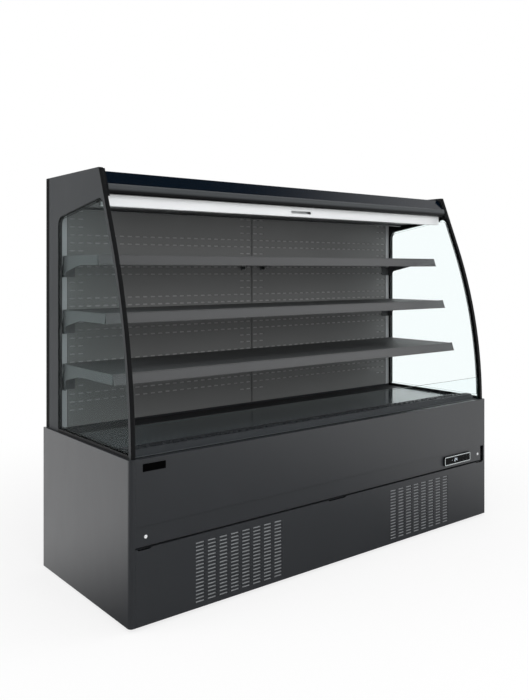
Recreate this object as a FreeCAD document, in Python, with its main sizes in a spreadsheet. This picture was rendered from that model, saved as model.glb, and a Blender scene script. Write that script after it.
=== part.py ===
import FreeCAD, Part
import math
import os

import Sketcher

# Open multideck display fridge: a louvred machine base with a foamed tub, curved glazed sides, a perforated
# back wall, three hooked shelves, a canopy with its night blind, and the refrigeration inside.
# x runs across from the middle, z up from the floor. Depths are written as setbacks, counted back from the
# face of the front panels, and every piece is then moved so that the middle of the whole stands at y = 0.

SIZES = (
    # the cabinet
    ("width", 1875, "overall width, over the base sides"),
    ("depth", 680, "front panel face to rear face"),
    ("height", 1500, "floor to the top of the side frames"),
    ("foot_height", 12, "floor to the underside of the base"),
    ("foot_radius", 28, "levelling foot pad"),
    ("foot_pad_height", 7, "thickness of the foot pad"),
    ("foot_stem_radius", 8, "levelling foot stem"),
    ("foot_inset", 80, "foot axis in from the base's sides, front and rear"),
    ("base_height", 545, "floor to the top of the base"),
    ("sheet_gauge", 1.5, "thickness of the folded sheet covers"),
    ("frame_gauge", 3, "thickness of the base frame's angles and floor"),
    ("post_width", 40, "leg of the base frame's corner angles"),
    ("frame_setback", 20, "front of the base frame behind the front panels"),
    ("frame_lip_height", 30, "upstand of the base frame's floor at the front"),
    ("jamb_width", 20.5, "front return of the base sides"),
    ("base_corner_radius", 14, "upright front corners of the base sides"),
    ("base_edge_radius", 3, "top outer edge of the base sides"),
    ("fold_radius", 1.2, "outer fold of the front panel's top edge"),
    ("joint_gap", 0.3, "gap at a seam between covers"),
    # the tub and the rear panel
    ("tub_bottom", 300, "underside of the foamed tub"),
    ("tub_wall", 40, "foam thickness of the tub and the rear panel"),
    ("tub_side_gap", 2, "tub side in from the front jambs"),
    ("tub_setback", 31, "front of the tub"),
    # the front bands
    ("louvre_panel_top", 258.5, "top of the louvred panel"),
    ("strip_bottom", 264, "bottom of the control strip"),
    ("strip_top", 329, "top of the control strip"),
    ("strip_recess", 3.6, "face of the control strip behind the front panels"),
    ("strip_end_gap", 17.5, "open end of the control strip beside the right jamb"),
    ("upper_panel_bottom", 330, "bottom of the upper front panel"),
    ("panel_return", 18, "folded edge of the upper front panel"),
    ("badge_left", -890.5, "left edge of the bare badge plate"),
    ("badge_width", 84.8, "badge plate width"),
    ("badge_bottom", 504, "badge plate's lower edge"),
    ("badge_height", 25, "badge plate height"),
    ("badge_thickness", 1, "badge plate thickness"),
    ("screw_side", 878, "strip screw out from the middle"),
    ("screw_mid_height", 294.5, "height of the strip screws' middle"),
    ("screw_radius", 6, "strip screw head"),
    ("screw_head", 2.2, "strip screw head height"),
    # louvres
    ("louvre_width", 34, "one louvre slot"),
    ("louvre_height", 5.5, "one louvre slot"),
    ("louvre_pitch_across", 48.8, "louvre columns"),
    ("louvre_pitch_up", 12.33, "louvre rows"),
    ("louvre_first_height", 33, "middle of the lowest louvre row"),
    ("louvre_left", -500, "middle of the left louvre group"),
    ("louvre_right", 466, "middle of the right louvre group"),
    ("grip_depth", 4, "finger notch in the louvred panel's top edge"),
    # controller
    ("bezel_width", 185, "controller bezel"),
    ("bezel_height", 40, "controller bezel"),
    ("bezel_proud", 9, "bezel in front of the control strip"),
    ("bezel_radius", 7, "corner of the bezel"),
    ("bezel_border", 5, "frame of the bezel round its lens"),
    ("bezel_middle", 720.5, "middle of the bezel from the middle of the fridge"),
    ("bezel_mid_height", 296.7, "height of the bezel's middle"),
    ("housing_depth", 22, "controller housing behind the control strip"),
    ("housing_step", 6, "housing in from the bezel's edge"),
    ("lens_thickness", 3, "controller lens"),
    ("lens_recess", 1, "lens behind the bezel's face"),
    ("key_width", 14, "controller key"),
    ("key_height", 8, "controller key"),
    ("key_proud", 0.8, "key in front of the lens"),
    ("key_travel", 0.5, "key stroke"),
    ("key_clearance", 0.2, "key to its hole in the lens"),
    ("key_pitch_across", 24, "key columns"),
    ("key_pitch_up", 15, "key rows"),
    ("key_group", 50, "middle of the keys right of the bezel's middle"),
    # sides
    ("side_step", 11.5, "side frame in from the base side"),
    ("side_thickness", 16, "side frame"),
    ("toe_setback", 12, "foremost point of the side's curved front"),
    ("curve_radius", 2050, "curved front of the side"),
    ("curve_centre_height", 530, "height of the curve's centre"),
    ("straight_height", 1262, "where the curve runs into the straight"),
    ("frame_border", 16, "side frame in front of the window"),
    ("window_rear", 571, "rear edge of the window"),
    ("window_top_height", 1343.5, "top of the window at its rear edge"),
    ("window_top_slope", 0.1516, "rise of the window's top towards the front"),
    ("window_rear_radius", 35, "rear top corner of the window"),
    ("window_front_radius", 30, "front top corner of the window"),
    ("sill_height", 10, "black profile under the window"),
    ("trim_thickness", 1.5, "black edge trim along the side's front"),
    ("pane_thickness", 5, "each pane of the double glazing"),
    ("pane_clearance", 0.3, "pane to its frame"),
    ("spacer_width", 8, "spacer between the panes"),
    # top
    ("roof_height", 1490, "top of the roof panel"),
    ("roof_thickness", 30, "roof panel"),
    ("header_top_setback", 255, "header's top edge"),
    ("header_bottom_setback", 220, "header's bottom edge"),
    ("header_bottom_height", 1442, "header's bottom edge"),
    ("header_thickness", 3, "header panel"),
    ("header_end_gap", 8, "header's end in from the side frame"),
    ("lip_setback", 212, "foremost point of the header lip"),
    ("lip_bottom_height", 1408, "underside of the header lip"),
    ("lip_depth", 16, "front to back of the header lip"),
    ("lip_corner", 6, "bevel of the lip's lower front"),
    ("lip_radius", 2.5, "rounding of the lip's corners"),
    ("cap_margin", 2, "end cap behind the side frame's front edge"),
    ("ceiling_height", 1381, "underside of the canopy"),
    ("duct_front", 312, "front wall of the canopy's air duct"),
    ("outlet_depth", 52, "air outlet honeycomb"),
    ("outlet_thickness", 10, "air outlet honeycomb"),
    ("outlet_land", 6, "edge of the honeycomb on the lining"),
    ("outlet_end_gap", 30, "honeycomb's mouth in from the side frames"),
    ("outlet_cell", 16, "honeycomb cell"),
    ("outlet_pitch", 20, "honeycomb cells"),
    ("lamp_setback", 468, "lamp's front"),
    ("lamp_depth", 20, "lamp"),
    ("lamp_height", 10, "lamp"),
    ("lamp_bevel", 4, "lamp's lower corners"),
    ("lamp_end_gap", 30, "lamp's end in from the side frames"),
    # blind
    ("bar_setback", 245, "front of the blind's bar"),
    ("bar_depth", 30, "blind's bar"),
    ("bar_height", 41, "blind's bar"),
    ("bar_bottom_height", 1370, "underside of the blind's bar"),
    ("bar_end_gap", 10, "blind's bar in from the side frames"),
    ("bar_wall", 1.5, "wall of the blind's bar"),
    ("grip_half_width", 55, "finger slot in the bar's front, from the middle"),
    ("grip_radius", 5.5, "rounded ends of the finger slot"),
    ("grip_middle_height", 1388, "middle of the finger slot"),
    ("roller_radius", 16, "blind's roller with its wound cloth"),
    ("roller_setback", 276, "roller's axis"),
    ("roller_height", 1430, "roller's axis"),
    ("roller_end_gap", 4, "roller's end in from its bracket"),
    ("journal_radius", 5, "roller's journals"),
    ("running_clearance", 0.05, "radial clearance of a turning fit"),
    ("bracket_thickness", 8, "blind bracket"),
    ("bracket_setback", 243, "front of the blind bracket"),
    ("bracket_bottom_height", 1385, "underside of the blind bracket"),
    ("cloth_thickness", 0.6, "blind's cloth"),
    ("cloth_end_gap", 20, "blind's cloth in from the side frames"),
    # back wall
    ("wall_setback", 581, "face of the back wall"),
    ("wall_gauge", 1.5, "back wall sheet"),
    ("wall_bottom_height", 553.5, "bottom of the back wall"),
    ("wall_end_gap", 5, "back wall's end in from the side frame"),
    ("wall_seam", 4, "open seam between the two back walls"),
    ("profile_width", 25, "corner profile"),
    ("slot_width", 21, "slot in the back wall"),
    ("slot_height", 5, "slot in the back wall"),
    ("slot_first", 19.6, "first slot column from the middle"),
    ("slot_pitch_across", 35.2, "slot columns"),
    ("slot_top_row", 1374, "middle of the highest slot row"),
    ("slot_pitch_up", 30.35, "slot rows"),
    # deck
    ("deck_height", 546, "top of the deck plates"),
    ("deck_front", 180, "front edge of the deck plates"),
    ("deck_rear", 477, "rear edge of the deck plates"),
    ("deck_flange", 18, "folded edges of the deck plates"),
    ("deck_end_gap", 2, "deck plate in from the side frame"),
    ("rail_height", 20, "deck rail"),
    ("front_rail_setback", 165, "front deck rail"),
    ("front_rail_depth", 28, "front deck rail"),
    ("rear_rail_depth", 30, "rear deck rail"),
    ("riser_setback", 22, "front of the riser glass"),
    ("riser_thickness", 6, "riser glass"),
    ("riser_top", 646, "top of the riser glass"),
    ("channel_wall", 2, "riser glass channel"),
    ("channel_gap", 1, "riser glass to its channel"),
    ("channel_depth", 20, "riser glass channel"),
    ("grille_front", 41, "front edge of the intake grille"),
    ("grille_rear", 175, "rear edge of the intake grille"),
    ("grille_crown", 18.5, "height of the intake grille's hump above the deck"),
    ("grille_gauge", 2, "intake grille"),
    ("grille_end_gap", 5, "intake grille in from the side frame"),
    ("grille_cell", 18, "opening in the intake grille"),
    ("grille_pitch", 30, "openings across the intake grille"),
    # shelves
    ("rail_top_1", 1203.7, "top of the upper shelf's ticket rail"),
    ("rail_top_2", 1001.2, "top of the middle shelf's ticket rail"),
    ("rail_top_3", 798.4, "top of the lower shelf's ticket rail"),
    ("rail_setback_1", 280, "upper shelf's ticket rail, at its top"),
    ("rail_setback_2", 225, "middle shelf's ticket rail, at its top"),
    ("rail_setback_3", 171, "lower shelf's ticket rail, at its top"),
    ("ticket_height", 37.6, "ticket rail, upright"),
    ("ticket_lean", 13.5, "ticket rail's top behind its bottom"),
    ("ticket_thickness", 3.2, "ticket rail"),
    ("pan_drop", 2, "shelf pan below the ticket rail's top"),
    ("pan_gauge", 1.2, "shelf pan"),
    ("pan_flange", 25, "shelf pan's folded edges"),
    ("pan_rear_gap", 14, "shelf pan to the back wall"),
    ("shelf_end_gap", 3, "shelf's end in from the side frame"),
    ("plate_gauge", 3, "shelf bracket"),
    ("arm_front_depth", 35.6, "end bracket's arm at its front"),
    ("arm_knee", 430, "where the end arm's lower edge begins to fall towards the wall"),
    ("arm_slope", 0.21, "fall of the end arm's lower edge behind its knee"),
    ("middle_arm_depth", 33, "middle bracket's arm"),
    ("arm_start", 20, "middle bracket's front behind the ticket rail"),
    ("leg_depth", 27, "bracket's leg in front of its wall flange"),
    ("leg_drop", 38, "end bracket's leg below its hook"),
    ("middle_leg_drop", 11.5, "middle bracket's leg below its hook"),
    ("leg_radius", 16, "curve from the arm to the leg"),
    ("hook_rise", 2.5, "wall flange above its hook"),
    ("flange_gauge", 1.4, "bracket's wall flange"),
    ("flange_gap", 2, "wall flange to the back wall"),
    ("tab_width", 18, "bracket's hook tab"),
    ("tab_thickness", 2.5, "bracket's hook tab"),
    ("hook_clearance", 0.3, "hook tab above its slot's lower edge"),
    ("hook_reach", 3.5, "hook's lip behind the back wall"),
    ("hook_lip", 2, "hook's lip"),
    ("hook_lip_drop", 8, "hook's lip below its tab"),
    ("peg_reach", 2.5, "lower tab behind the back wall's face"),
    # refrigeration
    ("compressor_radius", 85, "compressor shell"),
    ("compressor_x", -120, "compressor's axis"),
    ("compressor_setback", 330, "compressor's axis"),
    ("shell_height", 165, "compressor shell's cylinder"),
    ("dome_height", 38, "compressor shell's dome"),
    ("grommet_height", 16, "rubber mounts under the compressor"),
    ("grommet_radius", 14, "rubber mounts under the compressor"),
    ("coil_width", 320, "condenser"),
    ("coil_depth", 56, "condenser"),
    ("coil_height", 210, "condenser"),
    ("coil_setback", 60, "condenser"),
    ("end_plate", 2, "coil end plate and fan plates"),
    ("end_plate_margin", 4, "coil end plate round its fins"),
    ("coil_lift", 24, "coil above the base frame's floor"),
    ("fan_height", 150, "condenser fan's axis"),
    ("fan_radius", 100, "condenser fan's tip"),
    ("fan_tip_gap", 6, "fan tip to its ring"),
    ("hub_radius", 26, "condenser fan's hub"),
    ("hub_depth", 24, "condenser fan's hub"),
    ("hub_standoff", 8, "fan hub behind its plate"),
    ("blade_thickness", 2.5, "fan blade"),
    ("blade_chord", 44, "condenser fan blade"),
    ("shaft_radius", 5, "fan shaft"),
    ("strut_width", 30, "motor strut"),
    ("strut_gauge", 3, "motor strut"),
    ("strut_standoff", 38, "motor strut behind its fan plate"),
    ("motor_radius", 32, "condenser fan motor"),
    ("motor_length", 50, "condenser fan motor"),
    ("cold_fan_radius", 76, "evaporator fan's tip"),
    ("cold_hub_radius", 22, "evaporator fan's hub"),
    ("cold_blade_chord", 34, "evaporator fan blade"),
    ("cold_fan_x", 400, "evaporator fan's axis"),
    ("cold_fan_height", 435, "evaporator fan's axis"),
    ("cold_motor_length", 26, "evaporator fan motor"),
    ("fan_plate_setback", 250, "evaporator fan plate"),
    ("evaporator_half_width", 600, "evaporator"),
    ("evaporator_setback", 330, "evaporator"),
    ("evaporator_depth", 100, "evaporator"),
    ("evaporator_height", 150, "evaporator"),
    ("tray_x", 330, "evaporation tray's left side"),
    ("tray_width", 300, "evaporation tray"),
    ("tray_setback", 390, "evaporation tray"),
    ("tray_depth", 230, "evaporation tray"),
    ("tray_height", 60, "evaporation tray"),
    ("drain_x", 450, "drain pipe"),
    ("drain_setback", 500, "drain pipe"),
    ("drain_radius", 16, "drain pipe"),
    ("drain_flange_radius", 26, "drain pipe's flange"),
    ("drain_dip", 12, "drain pipe's end below the tray's rim"),
    ("pipe_radius", 6, "refrigerant pipes"),
    ("pipe_bend", 22, "bend of the refrigerant pipes"),
    ("pipe_clearance", 0.5, "pipe to its hole in the tub"),
    ("pipe_riser_setback", 520, "suction pipe through the tub's floor"),
    ("pipe_level", 268, "suction pipe under the tub"),
    ("pipe_coil_level", 400, "suction pipe at the evaporator"),
    ("liquid_level", 100, "liquid pipe"),
    ("liquid_x", -262, "liquid pipe's run back to the compressor"),
    ("box_left", 660, "electrical box"),
    ("box_width", 215, "electrical box"),
    ("box_setback", 70, "electrical box"),
    ("box_depth", 180, "electrical box"),
    ("box_height", 180, "electrical box"),
    ("gland_x", 780, "cable gland"),
    ("gland_height", 100, "cable gland"),
    ("gland_radius", 12, "cable gland"),
    ("gland_nut_radius", 18, "cable gland's nut"),
    ("gland_nut_depth", 8, "cable gland's nut"),
    ("gland_depth", 30, "cable gland"),
    ("gland_clearance", 0.3, "gland to its hole"),
    ("vent_width", 60, "vent slot in the base's rear panel"),
    ("vent_height", 6, "vent slot in the base's rear panel"),
    ("vent_pitch_across", 80, "vent columns"),
    ("vent_pitch_up", 14, "vent rows"),
    ("vent_first_height", 80, "middle of the lowest vent row"),
)

LOUVRE_COLUMNS = 8
LOUVRE_ROWS = 17
VENT_COLUMNS = 9
VENT_ROWS = 12
SLOT_COLUMNS = 25
SLOT_ROWS = 26
OUTLET_ROWS = 2
GRILLE_ROWS = 4
FEET_ACROSS = 3
BLADES = 5
BLADE_PITCH = 35.0
HOOK_ROWS = {1: 7, 2: 14, 3: 21}
SIDES = (-1, 1)
OVERCUT = 5.0
LONGEST_FORMULA = 60


class Length:
    """A number kept with the formula that gives it, so that one sum both sizes a piece and binds it."""

    def __init__(self, number, formula):
        self.number = number
        self.formula = formula if len(formula) <= LONGEST_FORMULA else own_cell(formula)

    def __add__(self, other):
        other = length(other)
        return Length(self.number + other.number, f"({self.formula} + {other.formula})")

    def __sub__(self, other):
        other = length(other)
        return Length(self.number - other.number, f"({self.formula} - {other.formula})")

    def __mul__(self, other):
        other = length(other)
        return Length(self.number * other.number, f"({self.formula} * {other.formula})")

    def __truediv__(self, other):
        other = length(other)
        return Length(self.number / other.number, f"({self.formula} / {other.formula})")

    def __neg__(self):
        return Length(-self.number, f"(0 - {self.formula})")

    def __rsub__(self, other):
        return length(other) - self

    __radd__ = __add__
    __rmul__ = __mul__


def own_cell(formula):
    """Keeps a long sum in a cell of its own, so that the formulas built on it stay short."""
    if formula not in own_cells:
        row = len(SIZES) + len(own_cells) + 1
        own_cells[formula] = f"sum_{row}"
        sheet.set(f"A{row}", "worked out from the sizes above")
        sheet.set(f"B{row}", "=" + formula.replace("Size.", ""))
        sheet.setAlias(f"B{row}", own_cells[formula])
        sheet.recompute()
    return f"Size.{own_cells[formula]}"


def length(value):
    """A plain number as a Length."""
    if isinstance(value, Length):
        return value
    return Length(float(value), f"({float(value)})")


def root(value):
    """The square root of a Length."""
    return Length(math.sqrt(value.number), f"sqrt({value.formula})")


doc = FreeCAD.newDocument("multideck_fridge")
sheet = doc.addObject("Spreadsheet::Sheet", "Size")
own_cells = {}


class Sizes:
    """The sheet's cells by name."""


def fill_sheet():
    """Writes each size to its cell and gives the cells as Lengths."""
    sizes = Sizes()
    for row, (alias, number, note) in enumerate(SIZES, start=1):
        sheet.set(f"A{row}", note)
        sheet.set(f"B{row}", str(number))
        sheet.setAlias(f"B{row}", alias)
    doc.recompute()
    for alias, _, _ in SIZES:
        setattr(sizes, alias, Length(float(sheet.get(alias)), f"Size.{alias}"))
    return sizes


S = fill_sheet()
nodes = []

# ---------------------------------------------------------------- shared places
half_width = S.width / 2
jamb_x = half_width - S.jamb_width
cover_x = jamb_x - S.joint_gap
side_outer_x = half_width - S.side_step
side_inner_x = side_outer_x - S.side_thickness
floor_top = S.foot_height + S.frame_gauge
rear_inner = S.depth - S.tub_wall
tub_x = jamb_x - S.tub_side_gap
tub_floor = S.tub_bottom + S.tub_wall
deck_seat = S.deck_height - S.sheet_gauge
strip_right = jamb_x - S.strip_end_gap
strip_back = S.strip_recess + S.sheet_gauge
channel_front = S.riser_setback - S.channel_gap - S.channel_wall
channel_rear = S.riser_setback + S.riser_thickness + S.channel_gap + S.channel_wall
roof_bottom = S.roof_height - S.roof_thickness
header_x = side_inner_x - S.header_end_gap
wall_back = S.wall_setback + S.wall_gauge
lining_top = S.ceiling_height + S.sheet_gauge
lead = S.bezel_proud - S.strip_recess
to_middle = (lead - S.depth) / 2


# ---------------------------------------------------------------- making and joining solids
def bind(item, prop, value):
    """Binds a property to the formula of a size."""
    item.setExpression(prop, length(value).formula)


def place(item, x, y, z):
    """Puts an item's base at x, setback y and height z."""
    bind(item, "Placement.Base.x", x)
    bind(item, "Placement.Base.y", y + to_middle)
    bind(item, "Placement.Base.z", z)


def block(name, x, y, z):
    """A box between the low and high end of each pair."""
    item = doc.addObject("Part::Box", name)
    for prop, (low, high) in zip(("Length", "Width", "Height"), (x, y, z)):
        bind(item, prop, length(high) - low)
    place(item, length(x[0]), length(y[0]), length(z[0]))
    return item


TURNS = {
    "x": FreeCAD.Rotation(FreeCAD.Vector(0, 1, 0), 90),
    "y": FreeCAD.Rotation(FreeCAD.Vector(1, 0, 0), -90),
    "z": FreeCAD.Rotation(),
}


def rod(name, along, centre, radius, span):
    """A cylinder along an axis, centred on the two other coordinates, from the low to the high end of span."""
    item = doc.addObject("Part::Cylinder", name)
    bind(item, "Radius", radius)
    bind(item, "Height", length(span[1]) - span[0])
    item.Placement = FreeCAD.Placement(FreeCAD.Vector(), TURNS[along])
    first, second = (length(value) for value in centre)
    low = length(span[0])
    spots = {"x": (low, first, second), "y": (first, low, second), "z": (first, second, low)}
    place(item, *spots[along])
    return item


PLANES = {"x": "YZ_Plane", "y": "XZ_Plane", "z": "XY_Plane"}


def draw(sketch, outline):
    """Draws a closed outline. A corner is (u, v), or (u, v, radius, centre) where an arc leaves it."""
    first = sketch.GeometryCount
    corners = [tuple(length(value) for value in corner[:2]) for corner in outline]
    spots = [FreeCAD.Vector(u.number, v.number, 0) for u, v in corners]
    count = len(spots)
    for index, corner in enumerate(outline):
        start, end = spots[index], spots[(index + 1) % count]
        if len(corner) == 2:
            sketch.addGeometry(Part.LineSegment(start, end), False)
            continue
        radius, centre = corner[2], FreeCAD.Vector(corner[3][0].number, corner[3][1].number, 0)
        middle = (start + end) / 2 - centre
        crown = centre + middle * (radius.number / middle.Length)
        sketch.addGeometry(Part.Arc(start, crown, end), False)
    # an arc always runs anticlockwise, so its own start may be either end of the corner pair
    starts = []
    for index, spot in enumerate(spots):
        begins_here = (sketch.getPoint(first + index, 1) - spot).Length < 1e-6
        starts.append(1 if begins_here else 2)
    for index, (u, v) in enumerate(corners):
        here, after = first + index, first + (index + 1) % count
        end = 3 - starts[index]
        sketch.addConstraint(Sketcher.Constraint("Coincident", here, end, after, starts[(index + 1) % count]))
        for kind, value in (("DistanceX", u), ("DistanceY", v)):
            number = sketch.addConstraint(Sketcher.Constraint(kind, -1, 1, here, starts[index], value.number))
            sketch.setExpression(f"Constraints[{number}]", value.formula)
        if len(outline[index]) > 2:
            radius = outline[index][2]
            number = sketch.addConstraint(Sketcher.Constraint("Radius", here, radius.number))
            sketch.setExpression(f"Constraints[{number}]", radius.formula)


def sketch_on(body, name, along, outlines, at):
    """A sketch of the outlines, square to the axis, at a distance along it."""
    sketch = body.newObject("Sketcher::SketchObject", name)
    plane = next(item for item in body.Origin.OriginFeatures if item.Role == PLANES[along])
    sketch.AttachmentSupport = [(plane, "")]
    sketch.MapMode = "FlatFace"
    bind(sketch, "AttachmentOffset.Base.z", at)
    for outline in outlines:
        draw(sketch, outline)
    return sketch


def profile(name, along, outlines, span, rounds=()):
    """A bar of the drawn section from the low to the high end of span. rounds are (corner, radius) pairs."""
    body = doc.addObject("PartDesign::Body", name)
    low, high = (length(value) for value in span)
    # the upright cross plane faces the front, so its bars grow towards the front
    start = -high if along == "y" else low
    sketch = sketch_on(body, name + "_section", along, outlines, start)
    pad = body.newObject("PartDesign::Pad", name + "_pad")
    pad.Profile = sketch
    bind(pad, "Length", high - low)
    sketch.Visibility = False
    body.Tip = pad
    bind(body, "Placement.Base.y", to_middle)
    round_corners(body, along, rounds)
    return body


def round_corners(body, along, rounds):
    """Rounds the edges that run along the axis through each given corner."""
    for corner, radius in rounds:
        base = body.Tip
        base.recompute(True)
        names = edges_along(base.Shape, along, [value.number for value in map(length, corner)])
        fillet = body.newObject("PartDesign::Fillet", base.Name + "_round")
        fillet.Base = (base, names)
        bind(fillet, "Radius", radius)
        body.Tip = fillet


def edges_along(shape, along, corner):
    """Names of the straight edges along an axis that pass through a corner of the section."""
    found = []
    for index, edge in enumerate(shape.Edges, start=1):
        ends = [vertex.Point for vertex in edge.Vertexes]
        if len(ends) != 2:
            continue
        flat = [{"x": (p.y, p.z), "y": (p.x, p.z), "z": (p.x, p.y)}[along] for p in ends]
        if all(math.dist(spot, corner) < 1e-4 for spot in flat):
            found.append(f"Edge{index}")
    if not found:
        raise RuntimeError(f"no edge at {corner}")
    return found


def pocket(body, name, along, outlines, span, rounds=()):
    """Cuts the drawn outlines out of a body between the low and high end of span."""
    body.Tip.recompute(True)
    before = body.Tip.Shape.Volume
    low, high = (length(value) for value in span)
    start = -low if along == "y" else high
    sketch = sketch_on(body, name + "_outline", along, outlines, start)
    cutter = body.newObject("PartDesign::Pocket", name)
    cutter.Profile = sketch
    bind(cutter, "Length", high - low)
    sketch.Visibility = False
    body.Tip = cutter
    cutter.recompute(True)
    if cutter.Shape.Volume >= before:
        raise RuntimeError(f"{name} cuts nothing")
    round_corners(body, along, rounds)


def turned(name, outline, x, y):
    """A solid of revolution about an upright axis, from an outline of (radius, height) corners."""
    body = doc.addObject("PartDesign::Body", name)
    sketch = sketch_on(body, name + "_outline", "y", [outline], 0)
    spin = body.newObject("PartDesign::Revolution", name + "_turn")
    spin.Profile = sketch
    spin.ReferenceAxis = (sketch, ["V_Axis"])
    spin.Angle = 360
    sketch.Visibility = False
    body.Tip = spin
    bind(body, "Placement.Base.x", x)
    bind(body, "Placement.Base.y", y + to_middle)
    return body


def joined(name, items):
    """One solid of several that touch or overlap."""
    item = doc.addObject("Part::MultiFuse", name)
    item.Shapes = items
    item.Refine = True
    return item


def together(name, items):
    """A group of separate solids."""
    item = doc.addObject("Part::Compound", name)
    item.Links = items
    return item


def cut(name, base, tools):
    """The base less the tools."""
    item = doc.addObject("Part::Cut", name)
    item.Base = base
    item.Tool = tools[0] if len(tools) == 1 else together(name + "_tools", tools)
    return item


def pair(name, make):
    """The left and right copy of a piece as one group. make takes the side, -1 or 1."""
    return together(name, [make(side) for side in SIDES])


def span_x(side, inner, outer):
    """The x span of a piece on a side, from its inner and outer distance to the middle."""
    return (-length(outer), -length(inner)) if side < 0 else (length(inner), length(outer))


def node(label, item):
    """Keeps an item as a sub-part under its label."""
    item.Label = label
    nodes.append(item)
    return item


def holed_sheet(name, along, outline, holes, span, bars=()):
    """A flat sheet with a field of openings, and the bars that stiffen it. Holes are (u low, u high, v low, v high)."""
    low, high = (length(value).number for value in span)
    at = {
        "x": lambda u, v: FreeCAD.Vector(low, u, v),
        "y": lambda u, v: FreeCAD.Vector(u, low, v),
        "z": lambda u, v: FreeCAD.Vector(u, v, low),
    }[along]
    step = {"x": (high - low, 0, 0), "y": (0, high - low, 0), "z": (0, 0, high - low)}[along]

    def ring(left, right, bottom, top):
        corners = [at(left, bottom), at(right, bottom), at(right, top), at(left, top)]
        return Part.makePolygon(corners + corners[:1])

    edge = ring(*[length(value).number for value in outline])
    face = Part.makeFace([edge] + [ring(*hole) for hole in holes], "Part::FaceMakerBullseye")
    shape = face.extrude(FreeCAD.Vector(*step))
    if bars:
        shape = shape.multiFuse([bar_box(*bar) for bar in bars]).removeSplitter()
    item = doc.addObject("Part::Feature", name)
    item.Shape = shape
    bind(item, "Placement.Base.y", to_middle)
    return item


def bar_box(x, y, z):
    """A plain box shape between pairs of Lengths."""
    low = [length(pair_of[0]).number for pair_of in (x, y, z)]
    high = [length(pair_of[1]).number for pair_of in (x, y, z)]
    return Part.makeBox(*[b - a for a, b in zip(low, high)], FreeCAD.Vector(*low))


def field(middle_u, middle_v, columns, rows, pitch_u, pitch_v, size_u, size_v):
    """Openings in columns and rows about a middle, as plain numbers for holed_sheet."""
    holes = []
    for column in range(columns):
        u = middle_u + (column - (columns - 1) / 2) * pitch_u
        for row in range(rows):
            v = middle_v + (row - (rows - 1) / 2) * pitch_v
            holes.append((u - size_u / 2, u + size_u / 2, v - size_v / 2, v + size_v / 2))
    return holes


def rectangle(u, v):
    """The corners of a rectangle between two pairs."""
    return [(u[0], v[0]), (u[1], v[0]), (u[1], v[1]), (u[0], v[1])]


# ---------------------------------------------------------------- base
def base_frame():
    """Floor pan with a front upstand, four corner angles that carry the tub, and the rail behind the strip."""
    edge = half_width - S.sheet_gauge
    rear = S.depth - S.sheet_gauge
    parts = [
        block("floor", (-edge, edge), (S.frame_setback, rear), (S.foot_height, floor_top)),
        block(
            "floor_lip",
            (-edge, edge),
            (S.frame_setback, S.frame_setback + S.frame_gauge),
            (floor_top, floor_top + S.frame_lip_height),
        ),
    ]
    for side in SIDES:
        flat = span_x(side, edge - S.post_width, edge)
        skin = span_x(side, edge - S.frame_gauge, edge)
        for front in (True, False):
            near = S.frame_setback if front else rear - S.post_width
            web = S.frame_setback if front else rear - S.frame_gauge
            name = f"post_{'left' if side < 0 else 'right'}_{'front' if front else 'rear'}"
            rise = (floor_top, S.tub_bottom)
            parts.append(block(name + "_face", flat, (web, web + S.frame_gauge), rise))
            parts.append(block(name + "_side", skin, (near, near + S.post_width), rise))
    rail = cut(
        "strip_rail",
        block("strip_rail_bar", (-cover_x, strip_right), (strip_back, S.frame_setback), (S.strip_bottom, S.strip_top)),
        [controller_hole("strip_rail_hole", S.frame_setback)],
    )
    parts.append(rail)
    node("base_frame", joined("base_frame", parts))


def controller_hole(name, rear):
    """The opening that the controller's housing passes through."""
    reach_x = S.bezel_width / 2 - S.housing_step + S.joint_gap
    reach_z = S.bezel_height / 2 - S.housing_step + S.joint_gap
    return block(
        name,
        (S.bezel_middle - reach_x, S.bezel_middle + reach_x),
        (S.strip_recess - OVERCUT, rear + OVERCUT),
        (S.bezel_mid_height - reach_z, S.bezel_mid_height + reach_z),
    )


def levelling_feet():
    """Threaded feet under the floor pan."""
    feet = []
    reach = half_width - S.foot_inset
    for column in range(FEET_ACROSS):
        x = reach * (column - (FEET_ACROSS - 1) / 2) / ((FEET_ACROSS - 1) / 2)
        for y in (S.foot_inset, S.depth - S.foot_inset):
            name = f"foot_{len(feet)}"
            pad = rod(name + "_pad", "z", (x, y), S.foot_radius, (0, S.foot_pad_height))
            stem = rod(name + "_stem", "z", (x, y), S.foot_stem_radius, (S.foot_pad_height, S.foot_height))
            feet.append(joined(name, [pad, stem]))
    node("levelling_feet", together("levelling_feet", feet))


def base_sides():
    """Folded skins with a return at the front and the rear and over the top."""

    def one(side):
        word = "left" if side < 0 else "right"
        outside = profile(
            f"base_skin_{word}",
            "z",
            [rectangle(span_x(side, jamb_x, half_width), (length(0), S.depth))],
            (S.foot_height, S.base_height),
            [((half_width * side, 0), S.base_corner_radius)],
        )
        gauge = S.sheet_gauge
        inside = profile(
            f"base_space_{word}",
            "z",
            [rectangle(span_x(side, jamb_x - OVERCUT, half_width - gauge), (gauge, S.depth - gauge))],
            (S.foot_height - OVERCUT, S.base_height - gauge),
            [(((half_width - gauge) * side, gauge), S.base_corner_radius - gauge)],
        )
        return cut(f"base_side_{word}", outside, [inside])

    node("base_sides", pair("base_sides", one))


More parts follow.
